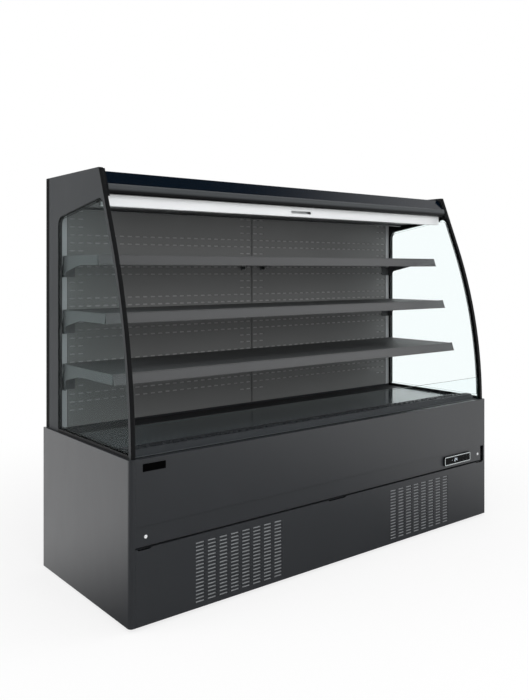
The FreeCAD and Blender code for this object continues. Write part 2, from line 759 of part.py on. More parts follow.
def base_rear_panel():
    """Sheet behind the machine compartment, with vents and the hole for the cable gland."""
    bottom, top = floor_top, S.tub_bottom - S.joint_gap
    vents = field(
        0,
        S.vent_first_height.number + (VENT_ROWS - 1) / 2 * S.vent_pitch_up.number,
        VENT_COLUMNS,
        VENT_ROWS,
        S.vent_pitch_across.number,
        S.vent_pitch_up.number,
        S.vent_width.number,
        S.vent_height.number,
    )
    rear = (S.depth - S.sheet_gauge, S.depth)
    panel = holed_sheet("rear_vents", "y", (-cover_x, cover_x, bottom, top), vents, rear)
    hole = rod(
        "gland_hole",
        "y",
        (S.gland_x, S.gland_height),
        S.gland_radius + S.gland_clearance,
        (rear[0] - OVERCUT, rear[1] + OVERCUT),
    )
    node("base_rear_panel", cut("base_rear_panel", panel, [hole]))


def tank_body():
    """Foamed tub that holds the evaporator: floor, front wall and two end walls, open at the rear and on top."""
    outer = block("tub_block", (-tub_x, tub_x), (S.tub_setback, rear_inner), (S.tub_bottom, deck_seat))
    room = block(
        "tub_room",
        (S.tub_wall - tub_x, tub_x - S.tub_wall),
        (S.tub_setback + S.tub_wall, rear_inner + OVERCUT),
        (tub_floor, deck_seat + OVERCUT),
    )
    through = (S.tub_bottom - OVERCUT, tub_floor + OVERCUT)
    drain = rod(
        "tub_drain_hole", "z", (S.drain_x, S.drain_setback), S.drain_radius + S.pipe_clearance, through
    )
    suction = rod(
        "tub_pipe_hole",
        "z",
        (S.compressor_x, S.pipe_riser_setback),
        S.pipe_radius + S.pipe_clearance,
        through,
    )
    node("tank_body", cut("tank_body", cut("tub_open", outer, [room]), [drain, suction]))


def front_covers():
    """Upper front panel, control strip, badge plate and strip screws."""
    gauge = S.sheet_gauge
    top, bottom = S.base_height, S.upper_panel_bottom
    section = [
        (0, bottom),
        (S.panel_return, bottom),
        (S.panel_return, bottom + gauge),
        (gauge, bottom + gauge),
        (gauge, top - gauge),
        (channel_front, top - gauge),
        (channel_front, top),
        (0, top),
    ]
    fold = [((0, top), S.fold_radius)]
    node("upper_front_panel", profile("upper_front_panel", "x", [section], (-cover_x, cover_x), fold))
    strip = block(
        "strip_sheet", (-cover_x, strip_right), (S.strip_recess, strip_back), (S.strip_bottom, S.strip_top)
    )
    node("control_strip", cut("control_strip", strip, [controller_hole("strip_hole", S.strip_recess)]))
    badge = block(
        "badge_plate",
        (S.badge_left, S.badge_left + S.badge_width),
        (-S.badge_thickness, 0),
        (S.badge_bottom, S.badge_bottom + S.badge_height),
    )
    node("badge_plate", badge)

    def screw(side):
        return rod(
            f"screw_{'left' if side < 0 else 'right'}",
            "y",
            (S.screw_side * side, S.screw_mid_height),
            S.screw_radius,
            (S.strip_recess - S.screw_head, S.strip_recess),
        )

    node("strip_screws", pair("strip_screws", screw))


def louvred_panel():
    """Lift-off front panel with two groups of louvres, folded edges and finger notches in its top edge."""
    gauge, depth = S.sheet_gauge, S.frame_setback
    bottom, top = S.foot_height, S.louvre_panel_top
    holes = []
    for middle in (S.louvre_left, S.louvre_right):
        holes += field(
            middle.number,
            S.louvre_first_height.number + (LOUVRE_ROWS - 1) / 2 * S.louvre_pitch_up.number,
            LOUVRE_COLUMNS,
            LOUVRE_ROWS,
            S.louvre_pitch_across.number,
            S.louvre_pitch_up.number,
            S.louvre_width.number,
            S.louvre_height.number,
        )
    returns = [
        ((-cover_x, cover_x), (0, depth), (top - gauge, top)),
        ((-cover_x, cover_x), (0, depth), (bottom, bottom + gauge)),
        ((-cover_x, gauge - cover_x), (0, depth), (bottom, top)),
        ((cover_x - gauge, cover_x), (0, depth), (bottom, top)),
    ]
    sheet_part = holed_sheet(
        "louvre_sheet", "y", (-cover_x, cover_x, bottom, top), holes, (0, gauge), returns
    )
    notch_spans = ((-cover_x + 9, -cover_x + 56), (-74, 18), (cover_x - 56, cover_x - 9))
    notches = [
        block(f"notch_{index}", spot, (-OVERCUT, gauge * 4), (top - S.grip_depth, top + OVERCUT))
        for index, spot in enumerate(notch_spans)
    ]
    node("louvred_panel", cut("louvred_panel", sheet_part, notches))


def controller():
    """Bezel with its housing, the dark lens and four keys that travel behind it."""
    middle_x, middle_z = S.bezel_middle, S.bezel_mid_height
    reach_x, reach_z = S.bezel_width / 2, S.bezel_height / 2
    front = S.strip_recess - S.bezel_proud
    lens_front = front + S.lens_recess
    lens_rear = lens_front + S.lens_thickness
    corners = [
        ((middle_x + reach_x * u, middle_z + reach_z * v), S.bezel_radius) for u in SIDES for v in SIDES
    ]
    outline = rectangle((middle_x - reach_x, middle_x + reach_x), (middle_z - reach_z, middle_z + reach_z))
    face = profile("bezel_face", "y", [outline], (front, S.strip_recess), corners)
    step_x, step_z = reach_x - S.housing_step, reach_z - S.housing_step
    housing = block(
        "bezel_housing",
        (middle_x - step_x, middle_x + step_x),
        (S.strip_recess, strip_back + S.housing_depth),
        (middle_z - step_z, middle_z + step_z),
    )
    lens_x, lens_z = reach_x - S.bezel_border, reach_z - S.bezel_border
    lens_span = ((middle_x - lens_x, middle_x + lens_x), (middle_z - lens_z, middle_z + lens_z))
    seat = block("lens_seat", lens_span[0], (front - OVERCUT, lens_rear), lens_span[1])
    room_x, room_z = lens_x - S.bezel_border / 2, lens_z - S.bezel_border / 2
    room = block(
        "key_room",
        (middle_x - room_x, middle_x + room_x),
        (lens_rear - OVERCUT, lens_rear + S.key_travel * 3),
        (middle_z - room_z, middle_z + room_z),
    )
    bezel = cut("controller_bezel", joined("bezel_body", [face, housing]), [joined("bezel_room", [seat, room])])
    node("controller_bezel", bezel)
    keys, windows = [], []
    names = (("key_up", -0.5, 0.5), ("key_down", -0.5, -0.5), ("key_set", 0.5, 0.5), ("key_light", 0.5, -0.5))
    for name, across, up in names:
        x = middle_x + S.key_group + S.key_pitch_across * across
        z = middle_z + S.key_pitch_up * up
        for group, margin in ((keys, 0), (windows, S.key_clearance)):
            wide, tall = S.key_width / 2 + margin, S.key_height / 2 + margin
            is_key = group is keys
            deep = (lens_front - S.key_proud, lens_rear + S.key_travel) if is_key else (
                lens_front - OVERCUT,
                lens_rear + OVERCUT,
            )
            group.append(block(name if is_key else name + "_window", (x - wide, x + wide), deep, (z - tall, z + tall)))
    lens = block("lens_plate", lens_span[0], (lens_front, lens_rear), lens_span[1])
    node("controller_lens", cut("controller_lens", lens, windows))
    for (name, _, _), key in zip(names, keys):
        node(name, key)


# ---------------------------------------------------------------- sides
rise = (S.straight_height - S.curve_centre_height) / S.curve_radius
run = root(1 - rise * rise)
front_slope = rise / run
curve_centre = S.toe_setback + S.curve_radius


def front_arc(inset, z):
    """Setback of the side's curved front, moved back by inset, at a height on the curve."""
    radius = S.curve_radius - inset
    drop = z - S.curve_centre_height
    return curve_centre - root(radius * radius - drop * drop)


def tangent_spot(inset):
    """Where the moved curve runs into the straight."""
    radius = S.curve_radius - inset
    return curve_centre - radius * run, S.curve_centre_height + radius * rise


def front_line(inset, z):
    """Setback of the side's straight front, moved back by inset, at a height on the straight."""
    u, v = tangent_spot(inset)
    return u + (z - v) * front_slope


def front_run(inset, low, high):
    """Outline corners up the side's front from a low height on the curve to a high one on the straight."""
    radius = S.curve_radius - inset
    centre = (curve_centre, S.curve_centre_height)
    return [(front_arc(inset, low), low, radius, centre), tangent_spot(inset), (front_line(inset, high), high)]


def window_outline(inset, bottom):
    """Outline of the window, drawn in by inset, with its two rounded corners."""
    rear = S.window_rear - inset
    edge = S.frame_border + inset
    drop = inset * root(1 + S.window_top_slope * S.window_top_slope)
    rear_top = S.window_top_height - drop + S.window_top_slope * inset
    u, v = tangent_spot(edge)
    # the straight front s = u + slope (z - v) meets the top edge z = rear_top + top_slope (rear - s)
    setback = (u + front_slope * (rear_top + S.window_top_slope * rear - v)) / (1 + front_slope * S.window_top_slope)
    crown = rear_top + S.window_top_slope * (rear - setback)
    foot = front_run(edge, bottom, crown)[:2]
    outline = foot + [(setback, crown), (rear, rear_top), (rear, bottom)]
    rounds = [
        ((setback, crown), S.window_front_radius - inset),
        ((rear, rear_top), S.window_rear_radius - inset),
    ]
    return outline, rounds


def sides():
    """Side frames with a window, the double glazing, the front edge trims and the sills."""
    base, top = S.base_height, S.height
    outline = front_run(S.trim_thickness, base, top) + [(S.depth, top), (S.depth, base)]
    window, rounds = window_outline(length(0), base)
    sill_top = base + S.sill_height
    for side in SIDES:
        word = "left" if side < 0 else "right"
        across = span_x(side, side_inner_x, side_outer_x)
        frame = profile(f"side_frame_{word}", "x", [outline], across)
        through = (across[0] - OVERCUT, across[1] + OVERCUT)
        pocket(frame, f"window_{word}", "x", [window], through, rounds)
        node(f"side_frame_{word}", frame)
    trims = []
    edge = front_run(length(0), base, top)
    # the trim's inner face follows the frame's front, walked back down
    inner = front_run(S.trim_thickness, base, top)
    radius, centre = inner[0][2], inner[0][3]
    inner_down = [inner[2], (*inner[1], radius, centre), inner[0][:2]]
    for side in SIDES:
        word = "left" if side < 0 else "right"
        across = span_x(side, side_inner_x, side_outer_x)
        trims.append(profile(f"edge_trim_{word}", "x", [edge + inner_down], across))
        low, high = front_arc(S.frame_border, base), front_arc(S.frame_border, sill_top)
        border = S.curve_radius - S.frame_border
        sill = [
            (low, base, border, (curve_centre, S.curve_centre_height)),
            (high, sill_top),
            (S.window_rear, sill_top),
            (S.window_rear, base),
        ]
        trims.append(profile(f"sill_{word}", "x", [sill], across))
    node("side_trims", together("side_trims", trims))
    glazing = []
    pane, pane_rounds = window_outline(S.pane_clearance, sill_top)
    hole, hole_rounds = window_outline(S.pane_clearance + S.spacer_width, sill_top + S.spacer_width)
    for side in SIDES:
        word = "left" if side < 0 else "right"
        outer = span_x(side, side_outer_x - S.pane_thickness, side_outer_x)
        inner_span = span_x(side, side_inner_x, side_inner_x + S.pane_thickness)
        between = span_x(side, side_inner_x + S.pane_thickness, side_outer_x - S.pane_thickness)
        glazing.append(profile(f"outer_pane_{word}", "x", [pane], outer, pane_rounds))
        glazing.append(profile(f"inner_pane_{word}", "x", [pane], inner_span, pane_rounds))
        glazing.append(profile(f"spacer_{word}", "x", [pane, hole], between, pane_rounds + hole_rounds))
    node("side_glass", together("side_glass", glazing))


# ---------------------------------------------------------------- back and top
def back():
    """Foamed rear panel, two perforated walls and the corner profiles."""
    ends = (-side_inner_x, side_inner_x)
    node("rear_panel", block("rear_panel", ends, (rear_inner, S.depth), (S.tub_bottom, roof_bottom)))
    reach = side_inner_x - S.wall_end_gap

    def wall(side):
        holes = []
        for column in range(SLOT_COLUMNS):
            x = side * (S.slot_first.number + column * S.slot_pitch_across.number)
            near_edge = column < 2 or column >= SLOT_COLUMNS - 2
            for row in range(SLOT_ROWS):
                # the inner columns only have the paired rows
                if not near_edge and (row % 4 not in (0, 3) or row == 0):
                    continue
                z = S.slot_top_row.number - row * S.slot_pitch_up.number
                wide, tall = S.slot_width.number / 2, S.slot_height.number / 2
                holes.append((x - wide, x + wide, z - tall, z + tall))
        edges = span_x(side, S.wall_seam / 2, reach)
        return holed_sheet(
            f"wall_{'left' if side < 0 else 'right'}",
            "y",
            (*edges, S.wall_bottom_height, S.ceiling_height),
            holes,
            (S.wall_setback, wall_back),
        )

    node("back_walls", pair("back_walls", wall))

    def strip(side):
        return block(
            f"corner_profile_{'left' if side < 0 else 'right'}",
            span_x(side, side_inner_x - S.profile_width, side_inner_x),
            (S.wall_setback - S.wall_gauge, S.wall_setback),
            (S.wall_bottom_height, S.ceiling_height),
        )

    node("corner_profiles", pair("corner_profiles", strip))


header_rise = S.roof_height - S.header_bottom_height
header_run = S.header_top_setback - S.header_bottom_setback
header_length = root(header_rise * header_rise + header_run * header_run)
inward_y = header_rise / header_length * S.header_thickness
inward_z = header_run / header_length * S.header_thickness


def header_back(z):
    """Setback of the header's rear face at a height."""
    return S.header_bottom_setback + inward_y + (z - S.header_bottom_height + inward_z) * header_run / header_rise


def top():
    """Roof, header, lip, end caps, canopy lining, air outlet and lamp."""
    ends = (-side_inner_x, side_inner_x)
    roof = [
        (header_back(S.roof_height), S.roof_height),
        (header_back(roof_bottom), roof_bottom),
        (S.depth, roof_bottom),
        (S.depth, S.roof_height),
    ]
    node("roof_panel", profile("roof_panel", "x", [roof], ends))
    foot = (S.header_bottom_setback, S.header_bottom_height)
    head = (S.header_top_setback, S.roof_height)
    foot_back = (foot[0] + inward_y, foot[1] - inward_z)
    head_back = (head[0] + inward_y, head[1] - inward_z)
    across = (-header_x, header_x)
    node("header_panel", profile("header_panel", "x", [[foot, head, head_back, foot_back]], across))
    lip_rear = S.lip_setback + S.lip_depth
    fall = inward_z / inward_y
    lip_rear_top = S.header_bottom_height - (lip_rear - S.header_bottom_setback) * fall
    bead = S.header_bottom_setback - S.lip_corner / 2
    lip = [
        (bead, S.header_bottom_height + S.lip_corner * fall / 2),
        (S.lip_setback, S.header_bottom_height - S.lip_corner / 2),
        (S.lip_setback, S.lip_bottom_height + S.lip_corner),
        (S.lip_setback + S.lip_corner, S.lip_bottom_height),
        (lip_rear, S.lip_bottom_height),
        (lip_rear, lip_rear_top),
    ]
    rounds = [(lip[index], S.lip_radius) for index in (1, 2, 3)]
    node("header_lip", profile("header_lip", "x", [lip], across, rounds))
    cap_low = S.lip_bottom_height - S.header_end_gap
    cap_high = S.height - S.cap_margin
    cap = [
        (front_line(S.cap_margin, cap_low), cap_low),
        (front_line(S.cap_margin, cap_high), cap_high),
        (head[0], cap_high),
        head,
        head_back,
        foot_back,
        (lip_rear, lip_rear_top),
        (lip_rear, cap_low),
    ]

    def end_cap(side):
        word = "left" if side < 0 else "right"
        return profile(f"end_cap_{word}", "x", [cap], span_x(side, header_x, side_inner_x))

    node("header_end_caps", pair("header_end_caps", end_cap))
    gauge = S.sheet_gauge
    mouth_x = side_inner_x - S.outlet_end_gap
    land_front = S.duct_front + gauge
    ceiling = block("ceiling_sheet", ends, (S.duct_front, wall_back), (S.ceiling_height, lining_top))
    mouth = block(
        "ceiling_mouth",
        (-mouth_x, mouth_x),
        (land_front + S.outlet_land, land_front + S.outlet_depth - S.outlet_land),
        (S.ceiling_height - OVERCUT, lining_top + OVERCUT),
    )
    web = block("duct_web", ends, (S.duct_front, land_front), (lining_top, roof_bottom))
    node("canopy_lining", joined("canopy_lining", [cut("ceiling_open", ceiling, [mouth]), web]))
    outlet_x = mouth_x + S.outlet_land
    columns = int(2 * mouth_x.number // S.outlet_pitch.number)
    cells = field(
        0,
        (land_front + S.outlet_depth / 2).number,
        columns,
        OUTLET_ROWS,
        S.outlet_pitch.number,
        S.outlet_pitch.number,
        S.outlet_cell.number,
        S.outlet_cell.number,
    )
    outline = (-outlet_x, outlet_x, land_front, land_front + S.outlet_depth)
    outlet = holed_sheet("air_outlet", "z", outline, cells, (lining_top, lining_top + S.outlet_thickness))
    node("air_outlet", outlet)
    lamp_x = side_inner_x - S.lamp_end_gap
    lamp_rear = S.lamp_setback + S.lamp_depth
    lamp_low = S.ceiling_height - S.lamp_height
    lamp = [
        (S.lamp_setback, S.ceiling_height),
        (lamp_rear, S.ceiling_height),
        (lamp_rear, lamp_low + S.lamp_bevel),
        (lamp_rear - S.lamp_bevel, lamp_low),
        (S.lamp_setback + S.lamp_bevel, lamp_low),
        (S.lamp_setback, lamp_low + S.lamp_bevel),
    ]
    node("led_lamp", profile("led_lamp", "x", [lamp], (-lamp_x, lamp_x)))


# ---------------------------------------------------------------- night blind
def blind():
    """Brackets, spring roller, cloth, and the bottom bar with its grip."""
    bracket_x = side_inner_x - S.bracket_thickness
    axle = (S.roller_setback, S.roller_height)

    def bracket(side):
        word = "left" if side < 0 else "right"
        across = span_x(side, bracket_x, side_inner_x)
        plate = block(
            f"bracket_plate_{word}",
            across,
            (S.bracket_setback, S.duct_front),
            (S.bracket_bottom_height, roof_bottom),
        )
        bore = rod(
            f"bracket_bore_{word}",
            "x",
            axle,
            S.journal_radius + S.running_clearance,
            (across[0] - OVERCUT, across[1] + OVERCUT),
        )
        return cut(f"blind_bracket_{word}", plate, [bore])

    node("blind_brackets", pair("blind_brackets", bracket))
    roller_x = bracket_x - S.roller_end_gap
    journal_x = side_inner_x - S.joint_gap
    roller = joined(
        "blind_roller",
        [
            rod("roller_tube", "x", axle, S.roller_radius, (-roller_x, roller_x)),
            rod("roller_journals", "x", axle, S.journal_radius, (-journal_x, journal_x)),
        ],
    )
    node("blind_roller", roller)
    bar_x = side_inner_x - S.bar_end_gap
    bar_y = (S.bar_setback, S.bar_setback + S.bar_depth)
    bar_top = S.bar_bottom_height + S.bar_height
    bar_z = (S.bar_bottom_height, bar_top)
    wall = S.bar_wall
    tube = profile(
        "bar_tube",
        "x",
        [
            rectangle(bar_y, bar_z),
            rectangle((bar_y[0] + wall, bar_y[1] - wall), (bar_z[0] + wall, bar_z[1] - wall)),
        ],
        (-bar_x, bar_x),
    )
    grip_end = S.grip_half_width - S.grip_radius
    grip_y = (S.bar_setback - OVERCUT, S.bar_setback + wall * 2)
    grip_z = (S.grip_middle_height - S.grip_radius, S.grip_middle_height + S.grip_radius)
    mouth = [block("grip_slot", (-grip_end, grip_end), grip_y, grip_z)]
    for side in SIDES:
        name = f"grip_end_{'left' if side < 0 else 'right'}"
        mouth.append(rod(name, "y", (grip_end * side, S.grip_middle_height), S.grip_radius, grip_y))
    node("blind_bar", cut("blind_bar", tube, [joined("grip_mouth", mouth)]))
    cloth_x = side_inner_x - S.cloth_end_gap
    cloth_rear = S.roller_setback - S.roller_radius - S.joint_gap
    cloth = block(
        "blind_fabric",
        (-cloth_x, cloth_x),
        (cloth_rear - S.cloth_thickness, cloth_rear),
        (bar_top, S.roller_height),
    )
    node("blind_fabric", cloth)


# ---------------------------------------------------------------- deck and intake
def deck():
    """Deck rails, deck plates, rear cover, intake grille, riser glass and its channel."""
    gauge = S.sheet_gauge
    rail_x = tub_x - S.tub_wall
    rails = [
        block(
            "deck_rail_front",
            (-rail_x, rail_x),
            (S.front_rail_setback, S.front_rail_setback + S.front_rail_depth),
            (deck_seat - S.rail_height, deck_seat),
        ),
        block(
            "deck_rail_rear",
            (-rail_x, rail_x),
            (S.deck_rear - S.rear_rail_depth / 2, S.deck_rear + S.rear_rail_depth / 2),
            (deck_seat - S.rail_height, deck_seat),
        ),
    ]
    node("deck_rails", together("deck_rails", rails))
    reach = side_inner_x - S.deck_end_gap
    section = [
        (S.deck_front, deck_seat),
        (S.deck_rear, deck_seat),
        (S.deck_rear, S.deck_height),
        (S.deck_front, S.deck_height),
    ]
    for side in SIDES:
        word = "left" if side < 0 else "right"
        across = span_x(side, S.joint_gap, reach)
        plate = profile(f"deck_plate_{word}", "x", [section], across)
        node(f"deck_plate_{word}", plate)
    cover_front = S.deck_rear + S.joint_gap
    wall_face = S.wall_setback - gauge - S.joint_gap
    cover = [
        (cover_front, deck_seat),
        (wall_face, deck_seat),
        (wall_face, S.wall_bottom_height),
        (wall_face - gauge, S.wall_bottom_height),
        (wall_face - gauge, S.deck_height),
        (cover_front, S.deck_height),
    ]
    node("deck_rear_cover", profile("deck_rear_cover", "x", [cover], (-reach, reach)))
    grille()
    channel_bottom = S.base_height - S.channel_depth
    wall = S.channel_wall
    channel = [
        (channel_front, channel_bottom),
        (channel_rear, channel_bottom),
        (channel_rear, deck_seat),
        (channel_rear - wall, deck_seat),
        (channel_rear - wall, channel_bottom + wall),
        (channel_front + wall, channel_bottom + wall),
        (channel_front + wall, S.base_height),
        (channel_front, S.base_height),
    ]
    node("riser_channel", profile("riser_channel", "x", [channel], (-reach, reach)))
    glass = block(
        "riser_glass",
        (-reach, reach),
        (S.riser_setback, S.riser_setback + S.riser_thickness),
        (channel_bottom + wall, S.riser_top),
    )
    node("riser_glass", glass)


def grille():
    """Arched intake grille with rows of openings in its crown."""
    gauge = S.grille_gauge
    length_y = S.grille_rear - S.grille_front
    crown = S.deck_height + S.grille_crown
    front_foot = S.grille_front + length_y * 0.13
    crown_front = S.grille_front + length_y * 0.18
    crown_rear = S.grille_front + length_y * 0.34
    shoulder = S.grille_front + length_y * 0.71
    section = [
        (S.grille_front, deck_seat),
        (front_foot, crown - 1),
        (crown_front, crown),
        (crown_rear, crown),
        (shoulder, S.deck_height + S.grille_crown * 0.57),
        (S.grille_rear, S.deck_height + gauge),
        (S.grille_rear, deck_seat),
        (S.grille_rear - gauge, deck_seat),
        (S.grille_rear - gauge * 2, S.deck_height),
        (shoulder, S.deck_height + S.grille_crown * 0.57 - gauge),
        (crown_rear, crown - gauge),
        (crown_front + gauge / 2, crown - gauge),
        (front_foot + gauge, crown - gauge - 1),
        (S.grille_front + gauge * 1.6, deck_seat),
    ]
    reach = side_inner_x - S.grille_end_gap
    hump = profile("grille_hump", "x", [section], (-reach, reach))
    columns = int((2 * reach.number - S.grille_pitch.number) // S.grille_pitch.number)
    rows_y = (length_y - S.grille_pitch) / GRILLE_ROWS
    tools = []
    for row in range(GRILLE_ROWS):
        y = S.grille_front + S.grille_pitch * 0.75 + rows_y * (row + 0.5) - S.grille_cell / 2
        for column in range(columns):
            x = (column - (columns - 1) / 2) * S.grille_pitch - S.grille_pitch * 0.37
            tools.append(
                bar_box((x, x + S.grille_pitch * 0.74), (y, y + S.grille_cell), (deck_seat - 1, crown + OVERCUT))
            )
    cells = doc.addObject("Part::Feature", "grille_cells")
    cells.Shape = Part.makeCompound(tools)
    bind(cells, "Placement.Base.y", to_middle)
    node("intake_grille", cut("intake_grille", hump, [cells]))


# ---------------------------------------------------------------- shelves
def shelf(number):
    """Shelf pan with a leaning front, its two end plates and two middle brackets, and the ticket rail."""
    rail_top = getattr(S, f"rail_top_{number}")
    rail_setback = getattr(S, f"rail_setback_{number}")
    lean = S.ticket_lean / S.ticket_height
    rail_bottom = rail_top - S.ticket_height

    def rail_back(z):
        return rail_setback + S.ticket_thickness + (z - rail_top) * lean

    def rail_front(z):
        return rail_setback + (z - rail_top) * lean

    end_x = side_inner_x - S.shelf_end_gap
    pan_x = end_x - S.plate_gauge
    rail = [
        (rail_setback, rail_top),
        (rail_back(rail_top), rail_top),
        (rail_back(rail_bottom), rail_bottom),
        (rail_front(rail_bottom), rail_bottom),
    ]
    node(f"shelf_{number}_rail", profile(f"shelf_rail_{number}", "x", [rail], (-end_x, end_x)))
    top_z = rail_top - S.pan_drop
    under = top_z - S.pan_gauge
    low = top_z - S.pan_flange
    rear = S.wall_setback - S.pan_rear_gap
    gauge = S.pan_gauge
    slant = gauge * root(1 + lean * lean)
    pan_section = [
        (rail_back(top_z), top_z),
        (rear, top_z),
        (rear, low),
        (rear - gauge, low),
        (rear - gauge, under),
        (rail_back(under) + slant, under),
        (rail_back(low) + slant, low),
        (rail_back(low), low),
    ]
    pan = profile(f"shelf_pan_{number}", "x", [pan_section], (-pan_x, pan_x))
    row = S.slot_top_row - S.slot_pitch_up * HOOK_ROWS[number]
    tab_low = row - S.slot_height / 2 + S.hook_clearance
    flange_rear = S.wall_setback - S.flange_gap
    flange_front = flange_rear - S.flange_gauge
    leg_front = flange_front - S.leg_depth
    end_low = tab_low - S.leg_drop
    middle_low = tab_low - S.middle_leg_drop
    flange_top = tab_low + S.hook_rise
    level_edge = top_z - S.arm_front_depth

    def plate(name, across, ceiling, front, rear_edge, leg_low, under_edge):
        """An upright plate: arm under or beside the pan, and a leg down to the hooks.

        under_edge is the arm's lower edge, from the leg's front forwards.
        """
        section = [
            (front, ceiling),
            (rear_edge, ceiling),
            (rear_edge, low - S.joint_gap),
            (flange_front, flange_top),
            (flange_front, leg_low),
            (leg_front, leg_low),
        ] + under_edge
        return profile(name, "x", [section], across, [(under_edge[0], S.leg_radius)])

    def hooks(name, across, tab_middle, leg_low):
        """Wall flange with its upper hook."""
        tab_x = (tab_middle - S.tab_width / 2, tab_middle + S.tab_width / 2)
        tab_top = tab_low + S.tab_thickness
        lip = wall_back + S.hook_reach
        return [
            block(name + "_flange", across, (flange_front, flange_rear), (leg_low, flange_top)),
            block(name + "_tab", tab_x, (flange_rear, lip + S.hook_lip), (tab_low, tab_top)),
            block(name + "_lip", tab_x, (lip, lip + S.hook_lip), (tab_low - S.hook_lip_drop, tab_low)),
        ]

    def peg(name, tab_middle):
        """Lower peg of an end bracket, in the slot below its hook's."""
        tab_x = (tab_middle - S.tab_width / 2, tab_middle + S.tab_width / 2)
        peg_low = tab_low - S.slot_pitch_up
        return block(
            name + "_peg",
            tab_x,
            (flange_rear, S.wall_setback + S.peg_reach),
            (peg_low, peg_low + S.tab_thickness),
        )

    solids = [pan]
    outer_column = S.slot_first + S.slot_pitch_across * (SLOT_COLUMNS - 1)
    inner_column = S.slot_first + S.slot_pitch_across
    for side in SIDES:
        word = f"{number}_{'left' if side < 0 else 'right'}"
        end_span = span_x(side, pan_x, end_x)
        flange_span = span_x(side, outer_column - S.tab_width / 2, end_x)
        end_front = rail_back(top_z)
        end_edge = [
            (leg_front, level_edge - (leg_front - S.arm_knee) * S.arm_slope),
            (S.arm_knee, level_edge),
            (end_front, level_edge),
        ]
        end_plate = plate(f"end_plate_{word}", end_span, top_z, end_front, rear, end_low, end_edge)
        end_hooks = hooks(f"end_{word}", flange_span, outer_column * side, end_low)
        end_hooks.append(peg(f"end_{word}", outer_column * side))
        solids.append(joined(f"end_{word}", [end_plate] + end_hooks))
        mid_span = span_x(side, inner_column - S.plate_gauge / 2, inner_column + S.plate_gauge / 2)
        mid_flange = span_x(side, inner_column - S.tab_width / 2, inner_column + S.tab_width / 2)
        front = rail_setback + S.arm_start
        middle_edge = [(leg_front, top_z - S.middle_arm_depth), (front, top_z - S.middle_arm_depth)]
        middle_plate = plate(
            f"middle_plate_{word}", mid_span, under, front, rear - gauge, middle_low, middle_edge
        )
        middle_hooks = hooks(f"middle_{word}", mid_flange, inner_column * side, middle_low)
        solids.append(joined(f"middle_{word}", [middle_plate] + middle_hooks))
    node(f"shelf_{number}", together(f"shelf_{number}", solids))


# ---------------------------------------------------------------- refrigeration
def compressor():
    """Hermetic shell on a base plate with rubber mounts."""
    x, y = S.compressor_x, S.compressor_setback
    plate_low = floor_top + S.grommet_height
    plate_top = plate_low + S.frame_gauge
    shell_top = plate_top + S.shell_height
    r = S.compressor_radius
    shell = turned(
        "compressor_shell",
        [
            (0, plate_top),
            (r, plate_top),
            (r, shell_top),
            (r * 0.85, shell_top + S.dome_height * 0.6),
            (r * 0.4, shell_top + S.dome_height),
            (0, shell_top + S.dome_height),
        ],
        x,
        y,
    )
    reach_x, reach_y = r + S.grommet_radius, r
    plate = block("compressor_plate", (x - reach_x, x + reach_x), (y - reach_y, y + reach_y), (plate_low, plate_top))
    mounts = [
        rod(
            f"grommet_{u}_{v}",
            "z",
            (x + (reach_x - S.grommet_radius) * u, y + (reach_y - S.grommet_radius) * v),
            S.grommet_radius,
            (floor_top, plate_low),
        )
        for u in SIDES
        for v in SIDES
    ]
    node("compressor", joined("compressor", [shell, plate] + mounts))


def finned_coil(label, x, y, z, foot):
    """A finned block between two end plates that stand on the floor below."""
    core = block(label + "_core", x, y, z)
    m = S.end_plate_margin
    plates = []
    for name, low in (("left", x[0] - S.end_plate), ("right", x[1])):
        plates.append(
            block(f"{label}_{name}", (low, low + S.end_plate), (y[0] - m, y[1] + m), (foot, z[1] + m))
        )
    node(label, joined(label, [core] + plates))


def fan_plate(label, x, y, z, holes):
    """An upright plate with round fan openings, and a strut behind each that carries its motor."""
    parts = []
    through = (y - OVERCUT, y + S.end_plate + OVERCUT)
    sheet_part = block(label + "_sheet", x, (y, y + S.end_plate), z)
    rings = [
        rod(f"{label}_ring_{index}", "y", (hx, hz), tip + S.fan_tip_gap, through)
        for index, (hx, hz, tip) in enumerate(holes)
    ]
    parts.append(cut(label + "_holed", sheet_part, rings))
    strut_front = y + S.end_plate + S.strut_standoff
    for index, (hx, hz, tip) in enumerate(holes):
        half = S.strut_width / 2
        low, high = hz - tip - S.fan_tip_gap * 2, hz + tip + S.fan_tip_gap * 2
        across = (hx - half, hx + half)
        name = f"{label}_strut_{index}"
        bar = block(name, across, (strut_front, strut_front + S.strut_gauge), (low, high))
        bore = rod(
            name + "_bore",
            "y",
            (hx, hz),
            S.shaft_radius + S.running_clearance,
            (strut_front - OVERCUT, strut_front + S.strut_gauge + OVERCUT),
        )
        parts.append(cut(name + "_bored", bar, [bore]))
        for word, edge in (("low", low), ("high", high - S.strut_gauge)):
            leg_y = (y + S.end_plate, strut_front)
            parts.append(block(f"{name}_{word}", across, leg_y, (edge, edge + S.strut_gauge)))
    node(label, joined(label, parts))
    return strut_front + S.strut_gauge


